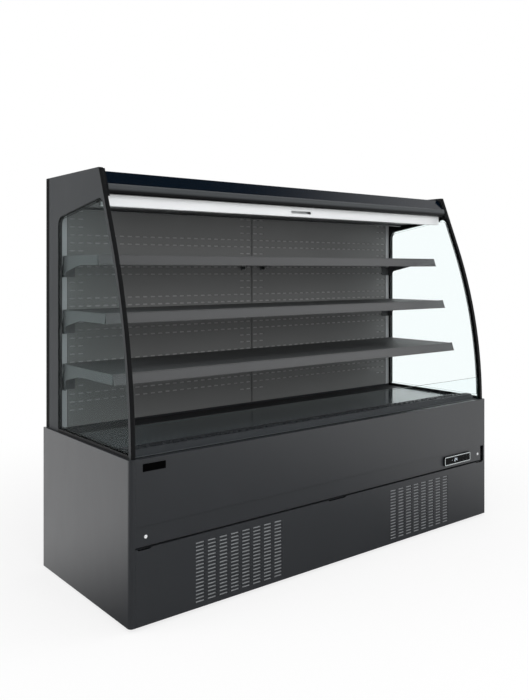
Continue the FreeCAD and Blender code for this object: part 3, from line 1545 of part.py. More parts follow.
def fan(label, x, z, hub_front, tip, hub, chord, strut_rear):
    """Hub, pitched blades and the shaft that runs in the motor strut."""
    hub_rear = hub_front + S.hub_depth
    parts = [
        rod(label + "_hub", "y", (x, z), hub, (hub_front, hub_rear)),
        rod(label + "_shaft", "y", (x, z), S.shaft_radius, (hub_rear, strut_rear - S.joint_gap)),
    ]
    for index in range(BLADES):
        blade = doc.addObject("Part::Box", f"{label}_blade_{index}")
        bind(blade, "Length", tip)
        bind(blade, "Width", S.blade_thickness)
        bind(blade, "Height", chord)
        turn = FreeCAD.Rotation(FreeCAD.Vector(0, 1, 0), -360.0 * index / BLADES)
        pitch = FreeCAD.Rotation(FreeCAD.Vector(1, 0, 0), -BLADE_PITCH)
        blade.Placement = FreeCAD.Placement(FreeCAD.Vector(), turn.multiply(pitch))
        place(blade, x, hub_front + S.blade_thickness, z)
        parts.append(blade)
    node(label, joined(label, parts))


def refrigeration():
    """Condensing unit, evaporator, fans, tray, pipes, electrical box and cable gland."""
    compressor()
    mid = S.louvre_left
    coil_x = (mid - S.coil_width / 2, mid + S.coil_width / 2)
    coil_rear = S.coil_setback + S.coil_depth
    coil_low = floor_top + S.coil_lift
    coil_z = (coil_low, coil_low + S.coil_height)
    finned_coil("condenser_coil", coil_x, (S.coil_setback, coil_rear), coil_z, floor_top)
    shroud_y = coil_rear + S.end_plate_margin
    shroud_z = (floor_top, coil_z[1] + S.end_plate_margin * 2)
    reach = S.end_plate + S.end_plate_margin
    shroud_x = (coil_x[0] - reach, coil_x[1] + reach)
    hot = (mid, S.fan_height, S.fan_radius)
    hot_rear = fan_plate("condenser_shroud", shroud_x, shroud_y, shroud_z, [hot])
    hub_front = shroud_y + S.end_plate + S.hub_standoff
    fan("condenser_fan", mid, S.fan_height, hub_front, S.fan_radius, S.hub_radius, S.blade_chord, hot_rear)
    inner_x = tub_x - S.tub_wall
    cold = [(S.cold_fan_x * side, S.cold_fan_height, S.cold_fan_radius) for side in SIDES]
    plate_z = (tub_floor, deck_seat - S.rail_height)
    cold_rear = fan_plate("evaporator_fan_plate", (-inner_x, inner_x), S.fan_plate_setback, plate_z, cold)
    hub_front = S.fan_plate_setback + S.end_plate + S.hub_standoff
    for side, label in zip(SIDES, ("evaporator_fan_left", "evaporator_fan_right")):
        fan(
            label,
            S.cold_fan_x * side,
            S.cold_fan_height,
            hub_front,
            S.cold_fan_radius,
            S.cold_hub_radius,
            S.cold_blade_chord,
            cold_rear,
        )
    motors = [rod("motor_hot", "y", (mid, S.fan_height), S.motor_radius, (hot_rear, hot_rear + S.motor_length))]
    for side in SIDES:
        name = f"motor_cold_{'left' if side < 0 else 'right'}"
        spot = (S.cold_fan_x * side, S.cold_fan_height)
        motors.append(rod(name, "y", spot, S.motor_radius, (cold_rear, cold_rear + S.cold_motor_length)))
    node("fan_motors", together("fan_motors", motors))
    wide = S.evaporator_half_width
    cold_y = (S.evaporator_setback, S.evaporator_setback + S.evaporator_depth)
    cold_low = tub_floor + S.end_plate_margin
    cold_z = (cold_low, cold_low + S.evaporator_height)
    finned_coil("evaporator_coil", (-wide, wide), cold_y, cold_z, tub_floor)
    tray_and_pipes(cold_y[1], coil_x[1])
    electrics()


def tray_and_pipes(evaporator_rear, condenser_right):
    """Evaporation tray on the floor, the drain down to it, and the two refrigerant pipes."""
    wall = S.frame_gauge
    x = (S.tray_x, S.tray_x + S.tray_width)
    y = (S.tray_setback, S.tray_setback + S.tray_depth)
    rim = floor_top + S.tray_height
    outer = block("tray_block", x, y, (floor_top, rim))
    room = block(
        "tray_room", (x[0] + wall, x[1] - wall), (y[0] + wall, y[1] - wall), (floor_top + wall, rim + OVERCUT)
    )
    node("evaporation_tray", cut("evaporation_tray", outer, [room]))
    spot = (S.drain_x, S.drain_setback)
    drain = joined(
        "drain_pipe",
        [
            rod("drain_stem", "z", spot, S.drain_radius, (rim - S.drain_dip, tub_floor)),
            rod("drain_flange", "z", spot, S.drain_flange_radius, (tub_floor, tub_floor + wall)),
        ],
    )
    cx, cy = S.compressor_x, S.compressor_setback
    shell_top = floor_top + S.grommet_height + S.frame_gauge + S.shell_height + S.dome_height
    suction = [
        (cx, cy, shell_top),
        (cx, cy, S.pipe_level),
        (cx, S.pipe_riser_setback, S.pipe_level),
        (cx, S.pipe_riser_setback, S.pipe_coil_level),
        (cx, evaporator_rear, S.pipe_coil_level),
    ]
    liquid_y = S.coil_setback + S.coil_depth / 2
    liquid = [
        (condenser_right + S.end_plate, liquid_y, S.liquid_level),
        (S.liquid_x, liquid_y, S.liquid_level),
        (S.liquid_x, cy, S.liquid_level),
        (cx - S.compressor_radius, cy, S.liquid_level),
    ]
    pipes = [bent_pipe("suction_pipe", suction), bent_pipe("liquid_pipe", liquid)]
    node("pipework", together("pipework", [drain] + pipes))


def bent_pipe(name, spots):
    """A round pipe along straight runs joined by tangent arcs."""
    points = [FreeCAD.Vector(*[length(value).number for value in spot]) for spot in spots]
    bend, edges, start = S.pipe_bend.number, [], points[0]
    for before, corner, after in zip(points, points[1:], points[2:]):
        inward = (before - corner).normalize()
        outward = (after - corner).normalize()
        # every bend is a right angle, so the arc starts one bend radius before the corner
        enter, leave = corner + inward * bend, corner + outward * bend
        centre = corner + (inward + outward) * bend
        crown = centre + (corner - centre).normalize() * bend
        edges.append(Part.LineSegment(start, enter).toShape())
        edges.append(Part.Arc(enter, crown, leave).toShape())
        start = leave
    edges.append(Part.LineSegment(start, points[-1]).toShape())
    ring = Part.Wire(Part.Circle(points[0], points[1] - points[0], S.pipe_radius.number).toShape())
    item = doc.addObject("Part::Feature", name)
    item.Shape = Part.Wire(edges).makePipeShell([ring], True, False)
    bind(item, "Placement.Base.y", to_middle)
    return item


def electrics():
    """Electrical box behind the controller, and the cable gland in the rear panel."""
    box = block(
        "electrical_box",
        (S.box_left, S.box_left + S.box_width),
        (S.box_setback, S.box_setback + S.box_depth),
        (floor_top, floor_top + S.box_height),
    )
    node("electrical_box", box)
    spot = (S.gland_x, S.gland_height)
    inner = S.depth - S.sheet_gauge
    gland = joined(
        "power_inlet",
        [
            rod("gland_body", "y", spot, S.gland_radius, (S.depth - S.gland_depth, S.depth)),
            rod("gland_nut", "y", spot, S.gland_nut_radius, (inner - S.gland_nut_depth, inner)),
        ],
    )
    node("power_inlet", gland)


# ---------------------------------------------------------------- the whole
def check_and_write():
    """Stops on any failed object or bad shape, then writes one file for each sub-part."""
    doc.recompute()
    failed = [item.Name for item in doc.Objects if {"Invalid", "Error"} & set(item.State)]
    if failed:
        raise RuntimeError(f"failed: {failed}")
    for item in nodes:
        if item.Shape.isNull() or not item.Shape.isValid() or not item.Shape.Solids:
            raise RuntimeError(f"bad shape: {item.Label}")
    os.makedirs("parts", exist_ok=True)
    for item in nodes:
        item.Shape.exportStep(f"parts/{item.Label}.step")
    print(len(nodes), "sub-parts,", sum(len(item.Shape.Solids) for item in nodes), "solids")


base_frame()
levelling_feet()
base_sides()
base_rear_panel()
tank_body()
front_covers()
louvred_panel()
controller()
sides()
back()
top()
blind()
deck()
for shelf_number in HOOK_ROWS:
    shelf(shelf_number)
refrigeration()
check_and_write()
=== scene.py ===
"""Dresses the open multideck fridge: powder-coated sheet, glazed sides, louvred base, slotted back wall and blind.

Lengths in the tables below are in millimetres. x runs across from the middle, z up from the floor, and depths are
setbacks, counted back from the face of the front panels, as in the part's source.
"""

import math

import bpy
import numpy as np
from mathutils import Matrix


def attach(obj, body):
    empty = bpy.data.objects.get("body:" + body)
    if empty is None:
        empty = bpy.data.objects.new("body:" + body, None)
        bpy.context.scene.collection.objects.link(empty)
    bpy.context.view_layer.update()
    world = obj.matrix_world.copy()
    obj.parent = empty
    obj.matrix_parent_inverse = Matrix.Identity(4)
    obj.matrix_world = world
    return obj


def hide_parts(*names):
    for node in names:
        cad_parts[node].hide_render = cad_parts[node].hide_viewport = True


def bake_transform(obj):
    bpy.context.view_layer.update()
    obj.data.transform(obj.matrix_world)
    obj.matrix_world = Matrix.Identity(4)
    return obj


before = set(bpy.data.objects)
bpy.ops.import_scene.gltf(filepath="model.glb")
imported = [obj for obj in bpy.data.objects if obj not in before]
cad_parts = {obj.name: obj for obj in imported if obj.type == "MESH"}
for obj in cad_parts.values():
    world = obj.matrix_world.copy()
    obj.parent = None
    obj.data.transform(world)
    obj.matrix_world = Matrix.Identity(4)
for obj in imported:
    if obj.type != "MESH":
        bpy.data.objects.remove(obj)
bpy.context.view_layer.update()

MM = 0.001
PANEL_FACE = -337.3
CABINET = "cabinet"


def place(points):
    """Points of (x, setback, z) in millimetres as (x, y, z) in metres."""
    points = np.array(points, float)
    points[..., 1] += PANEL_FACE
    return points * MM


# ---------------------------------------------------------------- shader sums
class Value:
    """A shader socket that takes part in sums; each sum adds its Math node."""

    def __init__(self, finish, socket):
        self.finish = finish
        self.socket = socket

    def math(self, operation, first, second=0.0):
        return self.finish.math(operation, first, second)

    def __add__(self, other):
        return self.math("ADD", self, other)

    def __sub__(self, other):
        return self.math("SUBTRACT", self, other)

    def __rsub__(self, other):
        return self.math("SUBTRACT", other, self)

    def __mul__(self, other):
        return self.math("MULTIPLY", self, other)

    def __pow__(self, other):
        return self.math("POWER", self, other)

    def __abs__(self):
        return self.math("ABSOLUTE", self)

    def above(self, edge, soft):
        """0 below the edge and 1 above it, with a soft step between."""
        limits = {"Value": self, "From Min": edge - soft, "From Max": edge + soft}
        return self.finish.node("MapRange", {"interpolation_type": "SMOOTHSTEP"}, limits)

    def output(self, name):
        """Another output of the same node."""
        return Value(self.finish, self.socket.node.outputs[name])

    __radd__ = __add__
    __rmul__ = __mul__


class Finish:
    """A node tree of a material or of the world."""

    def __init__(self, owner):
        owner.use_nodes = True
        self.owner = owner
        self.tree = owner.node_tree
        self.tree.nodes.clear()

    def math(self, operation, first, second=0.0):
        """A Math node on two values or numbers."""
        return self.node("Math", {"operation": operation}, {0: first, 1: second})

    def node(self, kind, settings=None, inputs=None, output=0):
        """Adds a node: its settings first, then the values or links of its sockets."""
        made = self.tree.nodes.new("ShaderNode" + kind)
        for name, setting in (settings or {}).items():
            setattr(made, name, setting)
        for name, given in (inputs or {}).items():
            socket = made.inputs[name]
            if isinstance(given, Value):
                self.tree.links.new(given.socket, socket)
            elif isinstance(given, tuple) and len(given) == 3 and socket.type == "RGBA":
                socket.default_value = (*given, 1)
            else:
                socket.default_value = given
        return Value(self, made.outputs[output])

    def place(self):
        """Object coordinates, in metres."""
        return self.node("TexCoord", output="Object")

    def axes(self):
        """The x, y and z of the object coordinates."""
        x = self.node("SeparateXYZ", inputs={0: self.place()})
        return x, x.output("Y"), x.output("Z")

    def noise(self, size, stretch=(1, 1, 1), detail=3.0, rough=0.5):
        """Noise from 0 to 1 whose patches are about size metres, drawn out along an axis by stretch."""
        scale = tuple(1 / (size * part) for part in stretch)
        spot = self.node("Mapping", inputs={"Vector": self.place(), "Scale": scale})
        return self.node("TexNoise", inputs={"Vector": spot, "Scale": 1.0, "Detail": detail, "Roughness": rough})

    def mix(self, first, second, mask):
        """A colour between two others."""
        return self.node("Mix", {"data_type": "RGBA"}, {0: mask, 6: first, 7: second}, 2)

    def edges(self, radius):
        """Rounded normal of the sharp edges, and a mask that is 1 along them."""
        rounded = self.node("Bevel", {"samples": 4}, {"Radius": radius})
        flat = self.node("NewGeometry", output="Normal")
        same = self.node("VectorMath", {"operation": "DOT_PRODUCT"}, {0: rounded, 1: flat}, "Value")
        return rounded, (1 - same).above(0.06, 0.05)

    def bump(self, height, distance, normal=None):
        """A Bump node over an optional normal."""
        inputs = {"Height": height, "Distance": distance, "Strength": 1.0}
        if normal:
            inputs["Normal"] = normal
        return self.node("Bump", inputs=inputs)

    def surface(self, **sockets):
        """Ends a material in one Principled shader; underscores stand for spaces."""
        inputs = {name.replace("_", " "): given for name, given in sockets.items()}
        return self.end(self.node("BsdfPrincipled", inputs=inputs))

    def end(self, shader, kind="OutputMaterial"):
        """Links a shader to the output node and gives back the material or the world."""
        output = self.tree.nodes.new("ShaderNode" + kind)
        self.tree.links.new(shader.socket, output.inputs["Surface"])
        return self.owner


def new_finish(name):
    """The node tree of a new material."""
    return Finish(bpy.data.materials.new(name))


def tone(code, lift=1.0):
    """The linear colour of a hex code, times lift."""
    parts = [int(code[index : index + 2], 16) / 255 for index in (0, 2, 4)]
    linear = (part / 12.92 if part <= 0.04045 else ((part + 0.055) / 1.055) ** 2.4 for part in parts)
    return tuple(min(lift * part, 0.95) for part in linear)


# ---------------------------------------------------------------- finishes
PEEL_DEPTH = 0.00006


def coat_texture(coat, edge_radius):
    """What every powder coat shows: cloudy tone, orange peel, handling marks, and rounded edges with a mask that
    lightens them, as wear and as painted highlight.
    """
    cloud = coat.noise(0.35, detail=2.0)
    peel = coat.noise(0.0016, detail=1.0)
    marks = coat.noise(0.05, stretch=(1, 1, 2.5), detail=4.0, rough=0.65)
    rounded, edge = coat.edges(edge_radius)
    return cloud, peel, marks, rounded, edge


def powder_coat(name, code, roughness=0.42, edge_wear_and_highlight=0.25, edge_radius=0.0012, gloss=0.5):
    """Powder coat: a fine orange peel, faint cloudy tone, handling marks in the sheen, and edges lightened as wear,
    and at a full share as a painted highlight.
    """
    coat = new_finish(name)
    cloud, peel, marks, rounded, edge = coat_texture(coat, edge_radius)
    base = coat.mix(tone(code, 0.93), tone(code, 1.07), cloud)
    # the edge mask lightens the colour: wear at a small share, a painted highlight at a full share
    worn_and_highlit_edges = coat.mix(base, tone(code, 1.6), edge * edge_wear_and_highlight)
    sheen = (marks - 0.5) * 0.10 + roughness
    return coat.surface(
        Base_Color=worn_and_highlit_edges,
        Roughness=sheen,
        Normal=coat.bump(peel, PEEL_DEPTH, rounded),
        Specular_IOR_Level=gloss,
    )


MOULDED_EDGE = 0.0008


def moulded(name, code, roughness=0.5, grain=0.0008, gloss=0.5):
    """Moulded plastic: a fine pebble grain, faint flow marks and slightly dulled edges."""
    plastic = new_finish(name)
    pebble = plastic.node("TexVoronoi", inputs={"Vector": plastic.place(), "Scale": 1 / grain})
    flow = plastic.noise(0.12, stretch=(3, 1, 1))
    rounded, edge = plastic.edges(MOULDED_EDGE)
    base = plastic.mix(tone(code, 0.88), tone(code, 1.12), flow)
    return plastic.surface(
        Base_Color=plastic.mix(base, tone(code, 1.8), edge * 0.3),
        Roughness=flow * 0.12 + (roughness - 0.06),
        Normal=plastic.bump(pebble, 0.00004, rounded),
        Specular_IOR_Level=gloss,
    )


SIDE_OUTER_FACE = 0.9252


def side_frame_coat():
    """Dull grey coat on the outer face of each side frame, black on its other faces."""
    coat = new_finish("side_frame_two_tone")
    x, _, _ = coat.axes()
    outside = abs(x).above(SIDE_OUTER_FACE, 0.0002)
    cloud, peel, marks, rounded, edge = coat_texture(coat, 0.0012)
    grey = coat.mix(tone("3e4042"), tone("444648"), cloud)
    grey = coat.mix(grey, tone("5e6163"), edge * 0.25)
    return coat.surface(
        Base_Color=coat.mix(tone("0a0b0c"), grey, outside),
        Roughness=marks * 0.1 + 0.55,
        Normal=coat.bump(peel, PEEL_DEPTH, rounded),
        Specular_IOR_Level=0.15,
    )


def edge_trim():
    """Satin black extrusion whose rounded edges are polished by handling."""
    trim = new_finish("edge_trim_black")
    flow = trim.noise(0.12, stretch=(1, 1, 3))
    rounded, edge = trim.edges(0.003)
    return trim.surface(
        Base_Color=trim.mix(tone("08090a"), tone("101113"), flow),
        Roughness=0.62 - edge * 0.42 + flow * 0.06,
        Normal=trim.bump(flow, 0.00002, rounded),
        Specular_IOR_Level=0.4,
    )


LIP_HIGHLIGHT_FROM = 1.424


def header_lip_plastic():
    """Black lip with a painted highlight: grey above, where its rounded top catches the light, black below, blending
    over its height.
    """
    lip = new_finish("header_lip_black_painted_highlight")
    _, _, z = lip.axes()
    # the grey upper part, and its lighter edges, are a painted highlight on the lip's rounded top
    upper = z.above(LIP_HIGHLIGHT_FROM, 0.006)
    streak = lip.noise(0.02, stretch=(30, 1, 1), detail=2.0)
    rounded, edge = lip.edges(0.003)
    base = lip.mix(tone("0b0c0e"), tone("484b4d"), upper * (streak * 0.3 + 0.7))
    return lip.surface(
        Base_Color=lip.mix(base, tone("646869"), edge * upper * 0.4),
        Roughness=streak * 0.1 + 0.4,
        Normal=lip.bump(streak, 0.00003, rounded),
        Specular_IOR_Level=0.25,
    )


BEZEL_MIDDLE = (720.5, 296.7)
BEZEL_HALF = (92.5, 20.0)
BEZEL_ROUND = 7.0
BEZEL_FACE = 5.1
SILVER_LINE = (0.0012, 0.0046)


def bezel_plastic():
    """Black bezel with a silver line round its face.

    The line lies where the distance inside a rounded rectangle is between two limits. With q the distance past the
    rectangle drawn in by its corner radius, taken as 0 inside it, that distance is radius - |q| at the corners.
    """
    bezel = new_finish("bezel_black_and_silver")
    x, y, z = bezel.axes()
    past_x = abs(x - BEZEL_MIDDLE[0] * MM) - (BEZEL_HALF[0] - BEZEL_ROUND) * MM
    past_z = abs(z - BEZEL_MIDDLE[1] * MM) - (BEZEL_HALF[1] - BEZEL_ROUND) * MM
    out_x, out_z = (bezel.math("MAXIMUM", past, 0.0) for past in (past_x, past_z))
    inside = BEZEL_ROUND * MM - (out_x * out_x + out_z * out_z) ** 0.5
    face = 1 - y.above((PANEL_FACE - BEZEL_FACE) * MM, 0.0001)
    outer, inner = SILVER_LINE
    line = inside.above(outer, 0.0002) * (1 - inside.above(inner, 0.0002)) * face
    cloud = bezel.noise(0.01)
    grain = bezel.noise(0.0006)
    silver = bezel.mix(tone("aab0b1"), tone("c6cbcc"), cloud)
    return bezel.surface(
        Base_Color=bezel.mix(tone("08090a"), silver, line),
        Roughness=cloud * 0.1 + 0.3,
        Normal=bezel.bump(grain, 0.00003),
        Specular_IOR_Level=0.2,
    )


def galvanised():
    """Galvanised sheet: flat spangle grains of differing tone and sheen."""
    zinc = new_finish("galvanised_sheet")
    grain = zinc.node("TexVoronoi", inputs={"Vector": zinc.place(), "Scale": 90.0}, output="Color")
    shade = zinc.node("SeparateXYZ", inputs={0: grain})
    dull = zinc.noise(0.08)
    return zinc.surface(
        Base_Color=zinc.mix(tone("80858a"), tone("a9adb0"), shade),
        Metallic=0.85,
        Roughness=shade * 0.12 + dull * 0.15 + 0.34,
        Normal=zinc.bump(dull, 0.0001),
    )


def brushed(name, code, along, roughness):
    """Brushed metal: long fine scratches along an axis, with a slow drift of tone."""
    metal = new_finish(name)
    stretch = tuple(60 if index == along else 1 for index in range(3))
    scratch = metal.noise(0.0006, stretch=stretch, detail=2.0)
    drift = metal.noise(0.04)
    rounded, edge = metal.edges(0.0006)
    base = metal.mix(tone(code, 0.8), tone(code, 1.15), scratch)
    return metal.surface(
        Base_Color=metal.mix(base, tone(code, 1.3), edge * 0.4),
        Metallic=0.9,
        Roughness=scratch * 0.16 + drift * 0.08 + (roughness - 0.12),
        Normal=metal.bump(scratch, 0.00002, rounded),
    )


FIN_PITCH = 0.0024
TUBE_PITCH = 0.025


def fins():
    """Coil fins: thin upright plates on level tubes, tarnished in patches, with painted shade in the gaps between the
    plates.
    """
    pack = new_finish("coil_fins_painted_gap_shade")
    x, _, z = pack.axes()
    wave = pack.math("SINE", x * (2 * math.pi / FIN_PITCH))
    tubes = pack.math("SINE", z * (2 * math.pi / TUBE_PITCH))
    tarnish = pack.noise(0.06, detail=4.0)
    groove = wave.above(0.1, 0.5)
    # the dark grey stripes between the bright plates are painted shade in the gaps
    dark = pack.mix(tone("3a3c3e"), tone("b9bcbe"), groove)
    return pack.surface(
        Base_Color=pack.mix(dark, tone("8c8a84"), tarnish * 0.35),
        Metallic=0.8,
        Roughness=tarnish * 0.2 + 0.3,
        Normal=pack.bump(groove + tubes.above(0.9, 0.1) * 0.5, 0.0008),
    )


DRAIN_FROM = 0.3


def copper():
    """Drawn copper pipe with darker, browned patches, and a plastic drain behind it."""
    pipe = new_finish("pipe_copper")
    patch = pipe.noise(0.03, detail=4.0)
    x, _, _ = pipe.axes()
    # the drain stands well to the right of both copper pipes
    drain = x.above(DRAIN_FROM, 0.01)
    tarnished = pipe.mix(tone("b5714a"), tone("6a4632"), patch.above(0.55, 0.15))
    return pipe.surface(
        Base_Color=pipe.mix(tarnished, tone("55585a"), drain),
        Metallic=1 - drain,
        Roughness=patch * 0.25 + 0.25,
        Normal=pipe.bump(patch, 0.0001),
    )


FACE_ON = 0.04


def glass(name, tint, edge_tint, edge_mask, shine):
    """Clear pane: the view goes straight through, tinted a little, under a reflection that grows at a slant.

    edge_mask gives, for the finish, a mask of the solid rims that show as coloured edges.
    """
    pane = new_finish(name)
    smear = pane.noise(0.25, stretch=(1, 1, 2), detail=3.0)
    through = pane.node("BsdfTransparent", inputs={"Color": tint})
    skin = pane.node(
        "BsdfPrincipled",
        inputs={"Base Color": (0.5, 0.52, 0.52), "Roughness": smear * 0.03 + 0.01, "Metallic": 1.0},
    )
    # facing runs from 0 square on to 1 at a graze, the same from either side of a pane
    facing = pane.node("LayerWeight", inputs={"Blend": 0.5}, output="Facing")
    # before shine scales it, the mirrored share is FACE_ON square on and rises with the fifth power of facing to 1
    slant = facing**5 * (1 - FACE_ON) + FACE_ON
    clear = pane.node("MixShader", inputs={0: slant * shine, 1: through, 2: skin})
    rim = pane.node(
        "BsdfPrincipled",
        inputs={"Base Color": edge_tint, "Roughness": smear * 0.1 + 0.15},
    )
    return pane.end(pane.node("MixShader", inputs={0: edge_mask(pane), 1: clear, 2: rim}))


RIM_SOFT = 0.00005
SPACER_FACES = (0.9151, 0.9209)
RISER_TOP = 0.6455
RISER_END = 0.9078


def side_rims(pane):
    """The spacer between the panes shows as a dark rim: it lies between their inner faces."""
    x, _, _ = pane.axes()
    across = abs(x)
    inner, outer = SPACER_FACES
    return across.above(inner, RIM_SOFT) * (1 - across.above(outer, RIM_SOFT))


def riser_rims(pane):
    """The polished top and ends of the riser glass."""
    x, _, z = pane.axes()
    top = z.above(RISER_TOP, 0.0001)
    ends = abs(x).above(RISER_END, RIM_SOFT)
    return top + ends - top * ends


THREAD_PITCH = 0.0012


def cloth():
    """Blind cloth: a plain weave over a coated, slightly mottled ground."""
    web = new_finish("blind_cloth")
    x, y, z = web.axes()
    warp = web.math("SINE", x * (2 * math.pi / THREAD_PITCH))
    weft = web.math("SINE", (z + y) * (2 * math.pi / THREAD_PITCH))
    mottle = web.noise(0.05)
    weave = warp * weft
    return web.surface(
        Base_Color=web.mix(tone("b9bbbc"), tone("d2d4d4"), mottle * 0.6 + weave * 0.2),
        Roughness=0.8,
        Sheen_Weight=0.2,
        Normal=web.bump(weave, 0.0001),
    )


LAMP_SETBACK = 478.0
DIODE_PITCH = 0.018
DIFFUSER_HALF = 0.0055
DIFFUSER_TOP = 1.3712


def lamp_lens():
    """Grey lamp housing with an opal diffuser let into its underside, over a row of diodes."""
    lamp = new_finish("lamp_and_diffuser")
    x, y, z = lamp.axes()
    dots = lamp.math("SINE", x * (2 * math.pi / DIODE_PITCH)).above(0.8, 0.2)
    haze = lamp.noise(0.02)
    middle = (PANEL_FACE + LAMP_SETBACK) * MM
    under = (1 - z.above(DIFFUSER_TOP, 0.0002)) * (1 - abs(y - middle).above(DIFFUSER_HALF, 0.0003))
    opal = lamp.mix(tone("a9acad"), tone("c8c9c2"), dots)
    housing = lamp.mix(tone("1b1c1d"), tone("26282a"), haze)
    return lamp.surface(
        Base_Color=lamp.mix(housing, opal, under),
        Roughness=haze * 0.1 + 0.35,
        Normal=lamp.bump(haze, 0.00003),
    )


def glowing(name, code, strength):
    """Lit marks of the display, a little uneven."""
    light = new_finish(name)
    spread = light.noise(0.002)
    return light.surface(
        Base_Color=tone(code, 0.4),
        Emission_Color=light.mix(tone(code, 0.8), tone(code), spread),
        Emission_Strength=strength,
        Roughness=0.4,
    )


BASE_GREY = powder_coat("base_grey_coat", "2d2f32", 0.34, gloss=0.8)
FRAME_GREY = side_frame_coat()
HEADER_COAT = powder_coat("header_gloss_coat", "020c17", 0.18, edge_wear_and_highlight=0.1, gloss=0.5)
WALL_GREY = powder_coat("interior_grey_coat", "757676", 0.6, gloss=0.2)
CORNER_GREY = powder_coat("corner_profile_coat", "aeb0b2", 0.5, gloss=0.3)
SHELF_GREY = powder_coat("shelf_grey_coat", "494b4c", 0.5, gloss=0.3)
TICKET_GREY = powder_coat("ticket_rail_coat", "505152", 0.4, edge_wear_and_highlight=0.35, edge_radius=0.002, gloss=0.8)
DECK_COAT = powder_coat("deck_dark_coat", "3f4346", 0.12, gloss=0.7)
COVER_COAT = powder_coat("deck_cover_coat", "2b2c2e", 0.6, gloss=0.3)
SKIN_GREY = powder_coat("foam_skin_coat", "4f5153", 0.5, gloss=0.35)
# the full edge share paints the bar's top and bottom edges near white as a painted highlight
WHITE_COAT = powder_coat("blind_bar_white_painted_edge_highlight", "e9ebec", 0.4, edge_wear_and_highlight=1.0, edge_radius=0.003, gloss=0.4)
# the louvre tongues are pressed from the panel's dark grey sheet; their paler grey is a painted highlight on their
# lit faces
LOUVRE_PAINTED_HIGHLIGHT = powder_coat("louvre_tongue_painted_highlight", "8b8e90", 0.45, edge_wear_and_highlight=0.2)
# the slot tongues are pressed from the wall; their grey, paler than the wall's, is a painted highlight on their lit
# faces
SLOT_PAINTED_HIGHLIGHT = powder_coat("slot_tongue_painted_highlight", "a2a3a3", 0.5, edge_wear_and_highlight=0.2)
ENAMEL = powder_coat("compressor_enamel", "101114", 0.25, gloss=0.6)
BLACK_TRIM = moulded("black_trim_plastic", "0e0f11", 0.45, gloss=0.25)
EDGE_TRIM = edge_trim()
SEAM_BLACK = moulded("seam_black", "08090a", 0.7, gloss=0.1)
LIP_BLACK = header_lip_plastic()
GRILLE_BLACK = moulded("intake_grille_black", "303134", 0.5, gloss=0.3)
FAN_PLASTIC = moulded("fan_plastic", "222326", 0.4)
RUBBER = moulded("foot_rubber", "161616", 0.75, grain=0.0015)
BEZEL_SILVER = bezel_plastic()
LENS_BLACK = moulded("lens_black_gloss", "060607", 0.3, grain=0.004, gloss=0.08)
ZINC = galvanised()
SCREW_STEEL = powder_coat("screw_zinc", "dfe1e2", 0.32, edge_wear_and_highlight=0.6, gloss=0.9)
# pale zinc of the bracket rims; its brightness also stands for the highlight on the folded edges
ZINC_RIMS_AND_HIGHLIGHT = powder_coat("bracket_edge_zinc_and_highlight", "d2d3d3", 0.4, edge_wear_and_highlight=0.6)
MOTOR_STEEL = brushed("motor_steel", "9a9c9e", 1, 0.4)
BADGE_METAL = brushed("badge_black_metal", "0b0b0d", 0, 0.34)
FIN_PACK = fins()
COPPER = copper()
CLOTH = cloth()
OPAL = lamp_lens()
SIDE_GLASS = glass("side_glazing", (0.984, 1.0, 1.0), (0.035, 0.037, 0.038), side_rims, 0.1)
RISER_GLASS = glass("riser_glazing", (0.985, 1.0, 1.0), (0.035, 0.05, 0.05), riser_rims, 0.1)
DIGIT_LIGHT = glowing("display_digits", "e8f4ff", 1.0)
MARK_PRINT = moulded("key_marks_print", "5f6366", 0.5)

NODE_FINISHES = {
    ZINC: ("base_frame", "condenser_shroud", "evaporator_fan_plate", "deck_rails"),
    BASE_GREY: ("base_sides", "base_rear_panel", "upper_front_panel", "louvred_panel", "control_strip"),
    SKIN_GREY: ("tank_body", "rear_panel", "roof_panel"),
    FRAME_GREY: ("side_frame_left", "side_frame_right"),
    CORNER_GREY: ("corner_profiles",),
    HEADER_COAT: ("header_panel",),
    WALL_GREY: ("back_walls", "canopy_lining"),
    SHELF_GREY: ("shelf_1", "shelf_2", "shelf_3"),
    TICKET_GREY: ("shelf_1_rail", "shelf_2_rail", "shelf_3_rail"),
    DECK_COAT: ("deck_plate_left", "deck_plate_right"),
    COVER_COAT: ("deck_rear_cover",),
    EDGE_TRIM: ("side_trims",),
    BLACK_TRIM: (
        "header_end_caps",
        "riser_channel",
        "air_outlet",
        "blind_brackets",
        "evaporation_tray",
        "electrical_box",
        "power_inlet",
    ),
    LIP_BLACK: ("header_lip",),
    GRILLE_BLACK: ("intake_grille",),
    RUBBER: ("levelling_feet",),
    FAN_PLASTIC: ("condenser_fan", "evaporator_fan_left", "evaporator_fan_right"),
    SIDE_GLASS: ("side_glass",),
    RISER_GLASS: ("riser_glass",),
    BEZEL_SILVER: ("controller_bezel",),
    LENS_BLACK: ("controller_lens", "key_up", "key_down", "key_set", "key_light"),
    MOTOR_STEEL: ("fan_motors",),
    BADGE_METAL: ("badge_plate",),
    WHITE_COAT: ("blind_bar",),
    OPAL: ("led_lamp",),
    FIN_PACK: ("condenser_coil", "evaporator_coil"),
    ENAMEL: ("compressor",),
    COPPER: ("pipework",),
}


def dress_nodes():
    """Gives each node that keeps its shape its finish."""
    for finish, names in NODE_FINISHES.items():
        for name in names:
            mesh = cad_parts[name].data
            mesh.materials.clear()
            mesh.materials.append(finish)


# ---------------------------------------------------------------- surfaces
def make_piece(name, points, faces, finish, body, smooth=False):
    """A mesh piece of (x, setback, z) points in millimetres that rides on a body."""
    mesh = bpy.data.meshes.new(name)
    mesh.from_pydata(place(points).tolist(), [], faces.tolist())
    mesh.materials.append(finish)
    mesh.polygons.foreach_set("use_smooth", np.full(len(mesh.polygons), smooth))
    mesh.update()
    piece = bpy.data.objects.new(name, mesh)
    bpy.context.scene.collection.objects.link(piece)
    if body:
        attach(piece, body)
    return piece


